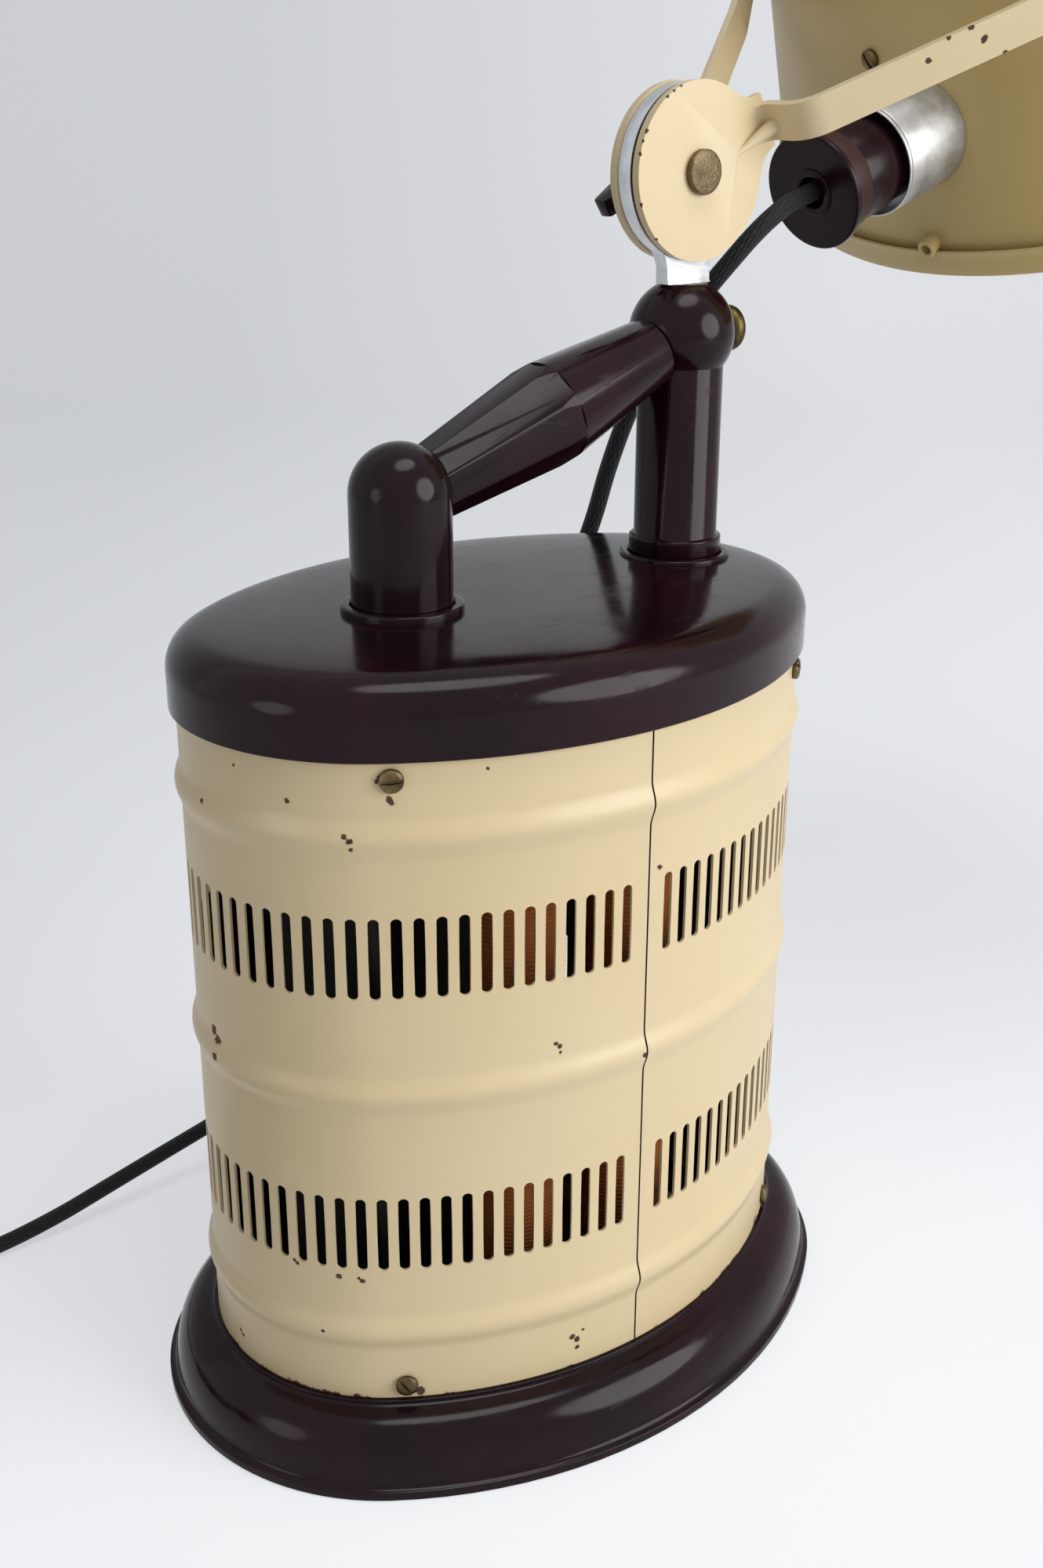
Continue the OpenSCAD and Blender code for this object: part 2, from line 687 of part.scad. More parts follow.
module ballast_top_plate() {
  margin = core_r + 2;
  color(steel) difference() {
    translate([core_x[0] - margin, -core_y - margin, top_plate_z])
      cube([core_x[1] - core_x[0] + 2 * margin, 2 * (core_y + margin), 1.5]);
    at_cores() cylinder(r = rod_r + close_gap, h = top_plate_z + 10);
  }
}

// Terminal block: its four brass screws clamp the mains and the lamp lead
block_x = 52;
block_w = 20;
block_l = 56;
block_h = 18;
module at_terminals() {
  for (y = [-19.5, -6.5, 6.5, 19.5]) translate([block_x + block_w / 2, y, plate_z1 + block_h]) children();
}
module terminal_block() {
  color(ceramic) difference() {
    translate([block_x, -block_l / 2, plate_z1]) cube([block_w, block_l, block_h]);
    at_terminals() translate([0, 0, -9]) cylinder(r = 2 + slip, h = 10);
  }
}
module terminal_screws() {
  color(brass) at_terminals() slotted_screw(2, 8, 3.6, 2.4);
}
// Wires inside: from the mains gland to the block, and from the block up to the lamp lead
module inner_leads() {
  color(cloth) {
    tube([[25.37, 71.65, 38], [24.54, 66.9, 38], [30, 60.5, 33], [39, 52, 25.5], [45, 41, 20.5],
      [47.5, 30, 18.2], [49.5, 19.5, 17.6]], 2, 6);
    tube([[77.72, 57.27, 221], [75.2, 53.04, 221], [72.4, 46, 214], [72, 36, 190], [73, 16, 140], [75, 2, 80],
      [77, -5, 40], [76, -6.5, 26], [73.6, -6.5, 18]], 2, 6, [1, 0, 0]);
  }
}

// Posts: moulded, each held by a stud with a nut under the lid
module front_post_solid(extra) {
  translate([-post_front_x, 0, lid_z1 - recess + slip])
    cylinder(r = post_front_r + extra, h = post_front_rise + recess - slip);
  translate([-post_front_x, 0, post_z]) sphere(r = post_front_r + extra);
}
module post_front() {
  color(bakelite) difference() {
    front_post_solid(0);
    translate([-post_front_x, 0, lid_z1 - 5]) cylinder(r = rod_r + slip, h = 24);
    at_grip() cylinder(r = core_rod_r + slip, h = 30);
  }
}
module post_rear() {
  color(bakelite) difference() {
    union() {
      translate([post_rear_x, 0, lid_z1 - recess + slip]) cylinder(r = post_rear_r, h = ball_rise - 4);
      translate([post_rear_x, 0, lid_z1 - recess + slip]) cylinder(r = post_rear_r + 1.7, h = 9);
    }
    at_ball() sphere(r = ball_r + close_gap);
    at_grip() translate([0, 0, grip_crease]) grip_cone(close_gap);
    translate([post_rear_x, 0, lid_z1 - 5]) cylinder(r = rod_r + slip, h = ball_rise);
  }
}
module post_studs() {
  color(steel) {
    translate([-post_front_x, 0, nut_z - 2]) cylinder(r = rod_r, h = lid_z1 + 18 - nut_z + 2);
    translate([post_rear_x, 0, nut_z - 2]) cylinder(r = rod_r, h = bush_z0 - 1.5 - nut_z + 2);
  }
}

// Grip: thickest in the middle, eight flats to the front post, a plain cone to the ball
module grip_cone(extra) {
  cylinder(r1 = grip_r + extra, r2 = grip_end_r + extra, h = grip_axis - grip_end - grip_crease + extra);
}
module handle_grip() {
  flat_slope = atan((grip_r - 0.6 - grip_tip) / grip_crease);
  color(bakelite) difference() {
    at_grip() union() {
      difference() {
        cylinder(r = grip_r, h = grip_crease + tiny);
        for (i = [0:7]) rotate(45 * i) translate([grip_tip, 0, 0]) rotate([0, flat_slope, 0])
          translate([0, -grip_r, -10]) cube([grip_r, 2 * grip_r, grip_axis]);
      }
      translate([0, 0, grip_crease]) grip_cone(0);
    }
    front_post_solid(close_gap);
    at_ball() sphere(r = ball_r + close_gap);
    at_grip() translate([0, 0, -5]) cylinder(r = core_rod_r + slip, h = grip_axis + 10);
  }
}
module handle_rod() {
  color(steel) at_grip() translate([0, 0, 1]) cylinder(r = core_rod_r, h = grip_axis - bush_r - 3);
}

// Ball: holds the stud, the grip's core, the swivel bush and the thumbscrew
module ball() {
  color(bakelite) difference() {
    at_ball() intersection() {
      sphere(r = ball_r);
      translate([-30, -30, -30]) cube([60, 60, 30 + ball_flat - ball_z]);
    }
    translate([post_rear_x, 0, bush_z0]) cylinder(r = bush_r + slip, h = bush_z1 - bush_z0 + slip);
    translate([post_rear_x, 0, bush_z0]) cylinder(r = spigot_r + slip, h = 60);
    translate([post_rear_x, 0, ball_z - 30]) cylinder(r = rod_r + slip, h = 40);
    at_ball() rotate([0, 90, 0]) cylinder(r = rod_r + slip, h = 40);
    at_grip() cylinder(r = core_rod_r + slip, h = grip_axis - bush_r - 1.5);
  }
}
module ball_bush() {
  color(brass) difference() {
    translate([post_rear_x, 0, bush_z0 + slip]) cylinder(r = bush_r, h = bush_z1 - bush_z0 - slip);
    translate([post_rear_x, 0, bush_z0 - 1]) cylinder(r = spigot_r + slip, h = 60);
    at_ball() rotate([0, 90, 0]) cylinder(r = rod_r + slip, h = 40);
  }
}

// Bush where the lamp lead leaves the shell
module lead_bush() {
  color(bakelite) on_side(lead_dir) translate([0, 0, lead_z]) rotate([0, 90, 0]) difference() {
    union() {
      translate([0, 0, -6]) cylinder(r = lead_r + 1.5, h = 12);
      translate([0, 0, slip + 0.4]) cylinder(r = lead_r + 4, h = 2.4);
      translate([0, 0, 2]) cylinder(r1 = lead_r + 3, r2 = lead_r + 1.6, h = 5);
    }
    translate([0, 0, -8]) cylinder(r = lead_r + close_gap, h = 20);
  }
}

// Gland and tapered strain relief of the mains lead
gland_r = mains_r + 1.6;
module mains_gland() {
  color([0.07, 0.07, 0.07]) on_side(mains_dir) translate([0, 0, mains_z]) rotate([0, 90, 0]) difference() {
    union() {
      translate([0, 0, -10]) cylinder(r = gland_r, h = 14);
      translate([0, 0, slip + 0.3]) cylinder(r = mains_r + 3.2, h = 3);
      translate([0, 0, 3]) cylinder(r1 = mains_r + 2.4, r2 = mains_r + 0.9, h = 22);
    }
    translate([0, 0, -12]) cylinder(r = mains_r + close_gap, h = 40);
  }
}

module mains_lead() {
  color(cloth) {
    tube(smooth(mains_route, 2), mains_r, 8);
    tube(tail_route, mains_r, 8);
  }
}
module mains_coil() {
  color(cloth) union() {
    tube(concat([mains_route[len(mains_route) - 1]], coil_path, [tail_route[0]]), mains_r, 6, turned = 30);
  }
}
// Tie: a band round the coil's turns
module coil_tie() {
  tie_t = 0.7;
  tie_in = coil_r - coil_pitch * coil_turns / 2 - mains_r - tie_t - close_gap;
  tie_out = coil_r + mains_r + tie_t + close_gap;
  tie_top = mains_d + coil_pitch + close_gap;
  color("ivory") translate([coil_x, coil_y, 0]) rotate([90, 0, 230]) translate([tie_in, 0, -4]) linear_extrude(8)
    difference() {
      square([tie_out - tie_in, tie_top + tie_t]);
      translate([tie_t, 0]) square([tie_out - tie_in - 2 * tie_t, tie_top]);
    }
}

// Old two-pin plug beside the coil
module at_plug() {
  translate(tail_route[len(tail_route) - 1]) rotate([90, 0, 0]) children();
}
module plug_body() {
  color(bakelite) at_plug() difference() {
    rotate_extrude() polygon([
      [0, 0], [5.5, 0], [6.5, 1], [7, 9], [9, 13], [13, 16], [15.5, 19.5], [17, 25], [17, 37],
      [16.2, 38], [16.2, plug_len], [0, plug_len]
    ]);
    for (side = [-1, 1]) translate([side * pin_gap / 2, 0, plug_len - 12]) cylinder(r = pin_r + slip, h = 20);
  }
}
module plug_pins() {
  color(brass) at_plug() for (side = [-1, 1]) translate([side * pin_gap / 2, 0, plug_len - 11]) {
    cylinder(r = pin_r, h = 11 + pin_len - 1);
    translate([0, 0, 11 + pin_len - 1 - tiny]) cylinder(r1 = pin_r, r2 = pin_r - 1, h = 1);
  }
}

// Knurled thumbscrew that clamps the swivel
module knurled(r, h, teeth) {
  linear_extrude(h) polygon([for (i = [0:2 * teeth - 1])
    (r - (i % 2) * 0.5) * [cos(180 * i / teeth), sin(180 * i / teeth)]]);
}
module swivel_screw() {
  color(brass) at_ball() rotate([0, 90, 0]) {
    translate([0, 0, spigot_r + close_gap]) cylinder(r = rod_r, h = ball_r + 2 - spigot_r);
    translate([0, 0, ball_r + seat_gap]) cylinder(r = 5, h = 1);
    translate([0, 0, ball_r + seat_gap + 1 - tiny]) knurled(thumb_r, thumb_t - 1, 30);
    translate([0, 0, ball_r + seat_gap + thumb_t - 2 * tiny]) cylinder(r1 = thumb_r - 0.6, r2 = 5, h = 0.8);
  }
}

// Aluminium neck: spigot in the ball, and the tab between the fork's discs with its thicker foot
neck_half = 10.2;
module neck_tab() {
  block_z = ball_flat + close_gap;
  color(aluminium) difference() {
    union() {
      translate([post_rear_x, 0, bush_z0 + 2]) cylinder(r = spigot_r, h = block_z - bush_z0 - 2 + tiny);
      translate([post_rear_x - neck_half, 0, 0]) rotate([90, 0, 90]) linear_extrude(2 * neck_half) polygon([
        [-3.5, block_z], [tab_y1, block_z], [tab_y1, joint_z - 20], [tab_y0, joint_z - 20],
        [tab_y0, block_z + 5.8], [-2.8, block_z + 3.6]
      ]);
      at_joint() translate([0, tab_y1, 0]) rotate([90, 0, 0]) {
        cylinder(r = disc_r - 0.4, h = tab_t);
        linear_extrude(tab_t) polygon([
          [-neck_half, -32.2], [neck_half, -32.2], [10.5, -30.4], [11.3, -28.6], [13.2, -25.5],
          [-13.2, -25.5], [-11.3, -28.6], [-10.5, -30.4]
        ]);
      }
    }
    at_joint() rotate([90, 0, 0]) cylinder(r = bolt_r + slip, h = 40, center = true);
  }
}

// Arm: the strip's middle line in the fork's plane, as bends and straight runs
bend_in = 5.2;
bend_out = 13;
bend_far = 150;
bend_end = 40;
function turn(from, angle0, angle1, r) =
  let (side = angle1 > angle0 ? 1 : -1)
  [for (i = [1:6])
    let (a = angle0 + (angle1 - angle0) * i / 6)
    from + side * r * [sin(a) - sin(angle0), cos(angle0) - cos(a)]];
function ahead(from, angle, run) = [from + run * [cos(angle), sin(angle)]];
function last(list) = list[len(list) - 1];
arm_mid_y = (disc_y0 + disc_y1) / 2;
arm_end_y = (arm_end_y0 + arm_end_y1) / 2;
arm_p0 = [[20, arm_mid_y], [30.2, arm_mid_y]];
arm_p1 = concat(arm_p0, turn(last(arm_p0), 0, arm_bend, bend_in));
arm_p2 = concat(arm_p1, ahead(last(arm_p1), arm_bend, arm_step));
arm_p3 = concat(arm_p2, turn(last(arm_p2), arm_bend, arm_spread, bend_out));
arm_p4 = concat(arm_p3, ahead(last(arm_p3), arm_spread, arm_reach));
arm_p5 = concat(arm_p4, turn(last(arm_p4), arm_spread, arm_splay, bend_far));
arm_run = (arm_end_y - bend_end * (1 - cos(arm_splay)) - last(arm_p5).y) / sin(arm_splay);
arm_p6 = concat(arm_p5, ahead(last(arm_p5), arm_splay, arm_run));
arm_p7 = concat(arm_p6, turn(last(arm_p6), arm_splay, 0, bend_end));
arm_line = concat(arm_p7, [[fork_len, arm_end_y]]);
function beside(p, i, off) =
  let (d = unit(p[min(i + 1, len(p) - 1)] - p[max(i - 1, 0)]))
  p[i] + off * [-d.y, d.x];
arm_band = concat(
  [for (i = [0:len(arm_line) - 1]) beside(arm_line, i, arm_t / 2)],
  [for (i = [len(arm_line) - 1:-1:0]) beside(arm_line, i, -arm_t / 2)]
);
// One arm, drawn on the +Y side: disc, neck, bent strip and round end
module arm() {
  in_fork() difference() {
    union() {
      translate([0, disc_y1, 0]) rotate([90, 0, 0]) {
        cylinder(r = disc_r, h = arm_t);
        linear_extrude(arm_t) polygon([
          [24, -17.3], [27.5, -13], [30.1, -11], [33, -10], [36.2, -9.6],
          [36.2, 9.6], [33, 10], [30.1, 11], [27.5, 13], [24, 17.3]
        ]);
      }
      translate([0, 0, -arm_wid / 2]) linear_extrude(arm_wid) polygon(arm_band);
      translate([fork_len, arm_end_y1, 0]) rotate([90, 0, 0]) cylinder(r = boss_r, h = arm_t);
    }
    rotate([-90, 0, 0]) cylinder(r = bolt_r + slip, h = 20);
    translate([fork_len, 0, 0]) rotate([-90, 0, 0]) cylinder(r = pivot_r + slip, h = 2 * arm_end_y);
  }
}
module arm_far() {
  color(cream) arm();
}
module arm_near() {
  color(cream) mirror([0, 1, 0]) arm();
}
module joint_bolt() {
  color(brass) at_joint() {
    translate([0, -disc_y1 - slip, 0]) rotate([90, 0, 0]) domed_head(dome_r, dome_h);
    translate([0, -disc_y1 - slip - tiny, 0]) rotate([-90, 0, 0]) cylinder(r = bolt_r, h = 2 * disc_y1 + 11);
  }
}
module fibre_ring(h) {
  rotate([90, 0, 0]) difference() {
    cylinder(r = disc_r - 1.6, h = h);
    translate([0, 0, -1]) cylinder(r = bolt_r + slip, h = 4);
  }
}
module joint_washers() {
  color([0.12, 0.1, 0.09]) at_joint() {
    translate([0, tab_y0 - slip, 0]) fibre_ring(fibre_t);
    translate([0, disc_y0 - slip, 0]) fibre_ring(fibre_t - 2 * tab_shift);
  }
}
module pivot_washers() {
  color([0.12, 0.1, 0.09]) in_fork() for (side = [0, 1]) mirror([0, side, 0])
    translate([fork_len, boss_y + slip, 0]) rotate([-90, 0, 0]) difference() {
      cylinder(r = boss_r - 1, h = washer_t);
      translate([0, 0, -1]) cylinder(r = pivot_r + slip, h = 4);
    }
}

// Wing knob on the far side, with its threaded insert
hub_len = 13.5;
insert_r = 6;
wing_t = 6.2;
wing_shape = [
  [0, 4], [8, 5.5], [21, 12], [22.2, 12.6], [22.6, 13.8], [22.6, 17.2], [22.2, 18.2], [21, 18.7], [0, 19.3]
];
module wing_knob() {
  color(bakelite) at_joint() translate([0, disc_y1 + close_gap, 0]) rotate([-90, 0, 0]) difference() {
    union() {
      cylinder(r = 10, h = hub_len - 3);
      translate([0, 0, hub_len - 3 - tiny]) cylinder(r1 = 10, r2 = 8, h = 3);
      rotate(146) for (side = [0, 180]) rotate(side)
        translate([0, wing_t / 2, 0]) rotate([90, 0, 0]) linear_extrude(wing_t) polygon(wing_shape);
    }
    translate([0, 0, -1]) cylinder(r = insert_r + slip, h = hub_len);
    cylinder(r = bolt_r + 0.6, h = 30);
  }
}
module knob_nut() {
  color(brass) at_joint() translate([0, disc_y1 + close_gap, 0]) rotate([-90, 0, 0]) difference() {
    cylinder(r = insert_r, h = hub_len - 1 - slip);
    translate([0, 0, -1]) cylinder(r = bolt_r + slip, h = 20);
  }
}

// Bell: spun sheet with two pivot bosses
module bell_solid(off) {
  rotate_extrude() polygon(concat([[0, -20], [wall_r(-20) - off / cos(bell_draft), -20]], bell_line(off, 2)));
}
module shade() {
  color(cream) at_bell() difference() {
    union() {
      rotate_extrude() polygon(concat(bell_line(0, 1.5), backwards(bell_line(bell_wall, 1.5))));
      for (side = [0, 1]) mirror([0, side, 0]) difference() {
        translate([0, wall_r(pivot_h) - 8, pivot_h]) rotate([-90, 0, 0])
          cylinder(r = boss_r, h = boss_y - wall_r(pivot_h) + 8);
        bell_solid(bell_wall / 2);
      }
    }
    translate([0, 0, pivot_h]) rotate([90, 0, 0]) cylinder(r = pivot_r + slip, h = 2 * mouth_r, center = true);
    translate([-holder_wall_r, 0, holder_h]) rotate([0, 90 + holder_drop, 0])
      cylinder(r = collar_r + close_gap, h = 30, center = true);
    at_liner_screws() cylinder(r = 2 + slip, h = 10, center = true);
    translate([-mouth_r, 0, eyelet_h]) rotate([0, 90, 0]) cylinder(r = eyelet_r / 2, h = 8);
  }
}
// Rim band: folded over the edges of the bell and the reflector
band_in = mouth_r - 0.2;
band_out = mouth_r + 1;
liner_foot = wall_r(0.5) - liner_gap / cos(bell_draft);
module rim_ring() {
  color(cream) at_bell() difference() {
    rotate_extrude() polygon([
      [band_in, band_h - 1], [band_in, 0.3], [liner_foot - 2.4, 0.3], [liner_foot - 2.4, -1],
      [band_out - 1, -1], [band_out, 0], [band_out, band_h - 0.8], [band_out - 0.6, band_h]
    ]);
    translate([-mouth_r - 10, 0, eyelet_h]) rotate([0, 90, 0]) cylinder(r = eyelet_r + close_gap, h = 20);
  }
}
module reflector() {
  color(aluminium) at_bell() difference() {
    rotate_extrude() polygon(concat(
      bell_line(liner_gap, 0.4), backwards(bell_line(liner_gap + liner_wall, 0.4))));
    translate([-holder_wall_r, 0, holder_h]) rotate([0, 90 + holder_drop, 0])
      cylinder(r = bulb_r + 3, h = 50, center = true);
    at_liner_screws() cylinder(r = 2 + slip, h = 30, center = true);
  }
}
module reflector_screws() {
  color(brass) at_bell() at_liner_screws() translate([0, 0, slip + 0.1])
    rotate(35) slotted_screw(2, liner_gap + 3, 4, 2.5);
}
module eyelet() {
  color(cream) at_bell() difference() {
    translate([-mouth_r - 3.4, 0, eyelet_h]) rotate([0, 90, 0]) difference() {
      cylinder(r = eyelet_r, h = 8);
      translate([0, 0, -1]) cylinder(r = eyelet_r / 2, h = 12);
    }
    cylinder(r1 = wall_r(0) + close_gap, r2 = wall_r(30) + close_gap, h = 30, $fn = 360);
  }
}
module pivot_screws() {
  color(brass) in_fork() for (side = [0, 1]) mirror([0, side, 0]) {
    translate([fork_len, arm_end_y1 + slip, 0]) rotate([-90, 0, 0]) domed_head(dome_r, dome_h);
    translate([fork_len, arm_end_y1 + slip + tiny, 0]) rotate([90, 0, 0])
      cylinder(r = pivot_r, h = arm_end_y1 - boss_y + 8);
  }
}

// Lamp holder, drawn along its axis: z = 0 at the bell's wall, + towards the bulb
cap_len = 2.2;
ring_len = 9.8;
ring_in = 15.9;
ring_r = 19.2;
body_r = 18.2;
body_in_r = 17.2;
body_bore = 14.5;
body_z1 = 3.8;
insert_z0 = -45;
insert_z1 = -14;
ring_z0 = -holder_out + cap_len + close_gap;
ring_z1 = ring_z0 + ring_len;
collar_z0 = -holder_out + 30.9;
collar_lip = body_z1 + 0.6;
lead_hole = lead_r + 2.4;
module holder_cap() {
  color(bakelite) at_holder() rotate_extrude() polygon([
    [lead_hole + 0.3, -holder_out - 0.8], [lead_hole + 2.5, -holder_out - 0.8],
    [lead_hole + 2.9, -holder_out], [cap_r - 0.8, -holder_out], [cap_r, -holder_out + 0.7],
    [cap_r, -holder_out + cap_len],
    [lead_hole, -holder_out + cap_len], [lead_hole, -holder_out - 0.5]
  ]);
}
module holder_ring() {
  color([0.16, 0.09, 0.08]) at_holder() rotate_extrude() polygon([
    [ring_in + close_gap, ring_z0], [ring_r - 0.5, ring_z0], [ring_r, ring_z0 + 0.7],
    [ring_r - 0.3, ring_z1 - 0.4], [ring_r - 0.7, ring_z1], [ring_in + close_gap, ring_z1]
  ]);
}
module holder_body() {
  color(bakelite) at_holder() rotate_extrude() polygon([
    [lead_hole, ring_z0], [ring_in, ring_z0], [ring_in, ring_z1 + close_gap], [body_r, ring_z1 + close_gap],
    [body_r, collar_z0 - 3.2], [body_in_r, collar_z0 - 2.2], [body_in_r, body_z1], [body_bore, body_z1],
    [body_bore, insert_z0], [lead_hole, insert_z0]
  ]);
}
module holder_collar() {
  color(aluminium) at_holder() rotate_extrude() polygon([
    [body_in_r + close_gap, collar_z0 + 8], [collar_r - 1, collar_z0 + 8], [collar_r - 1, collar_z0 + 0.4],
    [collar_r - 0.6, collar_z0], [collar_r - 0.4, collar_z0], [collar_r, collar_z0 + 0.6],
    [collar_r, collar_lip], [collar_r + 0.8, collar_lip],
    [collar_r + 0.8, collar_lip + 1], [body_in_r + close_gap, collar_lip + 1]
  ]);
}
module socket_insert() {
  color(ceramic) at_holder() translate([0, 0, insert_z0]) difference() {
    cylinder(r = body_bore - close_gap, h = insert_z1 - insert_z0);
    translate([0, 0, insert_z1 - insert_z0 - 6]) cylinder(r = 4, h = 10);
  }
}
module socket_shell() {
  color(brass) at_holder() translate([0, 0, insert_z1]) difference() {
    cylinder(r = body_bore - 0.6, h = body_z1 - insert_z1 - 0.4);
    translate([0, 0, 0.6]) cylinder(r = cap_thread_r + close_gap, h = 30);
    translate([0, 0, -1]) cylinder(r = 6, h = 5);
  }
}

// Bulb: screw cap, tubular glass with its stem, and the quartz burner inside
module bulb_cap() {
  color(brass) at_holder() rotate_extrude() polygon([
    [0, insert_z1 + 0.1], [4.5, insert_z1 + 0.1], [5.5, insert_z1 + 0.8], [cap_thread_r - 2, insert_z1 + 3.4],
    [cap_thread_r, insert_z1 + 4.4], [cap_thread_r, bulb_foot - slip], [0, bulb_foot - slip]
  ]);
}
function bulb_line(off) = concat(
  [[cap_thread_r - 0.3 - off, bulb_foot + off], [cap_thread_r - off, bulb_foot + 6],
    [bulb_r - 1.6 - off, bulb_foot + 15], [bulb_r - off, bulb_foot + 22]],
  [for (a = [0:15:75]) [(bulb_r - off) * cos(a), bulb_foot + bulb_len - bulb_r + (bulb_r - off) * sin(a)]],
  [[0, bulb_foot + bulb_len - off]]
);
stem_len = 20;
module bulb_glass() {
  color([0.8, 0.9, 0.95, 0.4]) at_holder() rotate_extrude() polygon(concat(
    [[0, bulb_foot]], bulb_line(0), backwards(bulb_line(0.8)),
    [[5, bulb_foot + 0.8], [4, bulb_foot + stem_len], [0, bulb_foot + stem_len]]
  ));
}
module burner() {
  color([0.85, 0.85, 0.9]) at_holder() translate([0, 0, bulb_foot + stem_len + close_gap]) {
    cylinder(r = 3.4, h = 5);
    translate([0, 0, 5 - tiny]) cylinder(r1 = 3.4, r2 = 6, h = 3);
    translate([0, 0, 8 - 2 * tiny]) cylinder(r = 6, h = 22);
    translate([0, 0, 30 - 3 * tiny]) cylinder(r1 = 6, r2 = 3.4, h = 3);
    translate([0, 0, 33 - 4 * tiny]) cylinder(r = 3.4, h = 5);
  }
}

// Lamp lead in three runs: housing to swivel, swivel to fork, fork to bell
lead_entry = [164, 0, 420.5];
module lead_lower() {
  color(cloth) tube(lower_route, lead_r, 8, [1, 0, 0], after = middle_route[1]);
}
module lead_middle() {
  color(cloth) tube(middle_route, lead_r, 8, [1, 0, 0],
    before = lower_route[len(lower_route) - 2], after = upper_route[1]);
}
module lead_upper() {
  color(cloth) tube(concat(upper_route, [lead_entry]), lead_r, 8, [0, 1, 0],
    before = middle_route[len(middle_route) - 2]);
}

foot();
base_felt();
base_plate();
tie_rods();
rod_nuts();
shell_left();
shell_right();
shell_screws();
lid();
ballast_cores();
ballast_windings();
tube_bushes();
tube_rods();
ballast_top_plate();
terminal_block();
terminal_screws();
inner_leads();
post_front();
post_rear();
post_studs();
handle_grip();
handle_rod();
ball();
ball_bush();
lead_bush();
mains_gland();
mains_lead();
mains_coil();
coil_tie();
plug_body();
plug_pins();
swivel_screw();
neck_tab();
arm_near();
arm_far();
joint_bolt();
joint_washers();
pivot_washers();
wing_knob();
knob_nut();
shade();
rim_ring();
reflector();
reflector_screws();
eyelet();
pivot_screws();
holder_cap();
holder_ring();
holder_body();
holder_collar();
socket_insert();
socket_shell();
bulb_cap();
bulb_glass();
burner();
lead_lower();
lead_middle();
lead_upper();
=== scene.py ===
"""A medical sun lamp on a pale studio floor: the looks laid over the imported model."""
import json
import math

import bmesh
import bpy
from mathutils import Matrix, Vector


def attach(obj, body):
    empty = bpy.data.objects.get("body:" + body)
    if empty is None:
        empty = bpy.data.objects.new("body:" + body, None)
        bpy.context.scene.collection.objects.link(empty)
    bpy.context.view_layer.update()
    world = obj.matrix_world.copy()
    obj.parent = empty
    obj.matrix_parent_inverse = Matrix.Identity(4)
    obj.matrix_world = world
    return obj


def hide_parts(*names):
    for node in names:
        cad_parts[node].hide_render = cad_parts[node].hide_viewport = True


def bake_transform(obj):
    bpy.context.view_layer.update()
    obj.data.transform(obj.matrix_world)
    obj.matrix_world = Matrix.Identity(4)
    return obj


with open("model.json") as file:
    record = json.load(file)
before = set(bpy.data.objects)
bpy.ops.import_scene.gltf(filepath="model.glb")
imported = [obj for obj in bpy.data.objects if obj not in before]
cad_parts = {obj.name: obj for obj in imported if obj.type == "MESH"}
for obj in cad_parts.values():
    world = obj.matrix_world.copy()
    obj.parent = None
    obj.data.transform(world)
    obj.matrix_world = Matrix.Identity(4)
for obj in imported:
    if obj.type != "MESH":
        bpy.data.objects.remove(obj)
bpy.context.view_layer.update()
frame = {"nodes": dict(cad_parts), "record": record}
MM = 0.001
scene = bpy.context.scene
scene.view_settings.view_transform = "Standard"


def mm(*values):
    """Millimetres, as the lamp's drawing gives them, to metres."""
    return tuple(v * MM for v in values)


def at(x, y, z):
    return Matrix.Translation(mm(x, y, z))


def turn(degrees, axis):
    return Matrix.Rotation(math.radians(degrees), 4, axis)


# The lamp's own frames, as in its drawing (mm)
POST_FRONT_X, POST_REAR_X = -42.8, 82.3
POST_Z, BALL_Z, JOINT_Z = 327, 369, 423.2
POST_R, BALL_R, FIT = 17, 19, 0.05
GRIP_Z, GRIP_R, GRIP_CREASE = 324.5, 17.6, 68
GRIP_RUN = POST_REAR_X - POST_FRONT_X
GRIP_SLOPE = math.degrees(math.atan((BALL_Z - GRIP_Z) / GRIP_RUN))
GRIP_AXIS = math.hypot(GRIP_RUN, BALL_Z - GRIP_Z)
FORK_LEN, FORK_RISE = 267, 28
DRAFT, TILT, MOUTH_R, PIVOT_H = 13.6, 33, 168, 89
DRAFT_TAN = math.tan(math.radians(DRAFT))


def wall_r(h):
    """The bell's outer radius at a height over its mouth."""
    return MOUTH_R - DRAFT_TAN * h


HERE = Matrix.Identity(4)
AT_BALL = at(POST_REAR_X, 0, BALL_Z)
AT_JOINT = at(POST_REAR_X, 0, JOINT_Z)
AT_GRIP = at(POST_FRONT_X, 0, GRIP_Z) @ turn(90 - GRIP_SLOPE, "Y")
IN_FORK = AT_JOINT @ turn(-FORK_RISE, "Y")
AT_BELL = IN_FORK @ at(FORK_LEN, 0, 0) @ turn(FORK_RISE - TILT, "Y") @ at(0, 0, -PIVOT_H)
HOLDER_H = 54.8
AT_HOLDER = AT_BELL @ at(-wall_r(HOLDER_H), 0, HOLDER_H) @ turn(90 + DRAFT, "Y")

# The oval: end arcs of radius 66 about (+-54, 0) and side arcs of radius 156 about (0, +-72)
END_R, END_C, SIDE_R, SIDE_C = 66, 54, 156, 72
CORNER = math.degrees(math.acos(0.6))
SEAM_X = 7.2
DISC_Y0, DISC_Y1, DISC_R = 4.0, 7.0, 29.6
ARM_T, ARM_W = 3, 13.2
RUN_START_X, RUN_START_Y, RUN_SLANT = 41.1, 31.4, 32
BEADS, BEAD_HALF, BEAD_RISE = (54.7, 146.7, 236.6), 8, 2


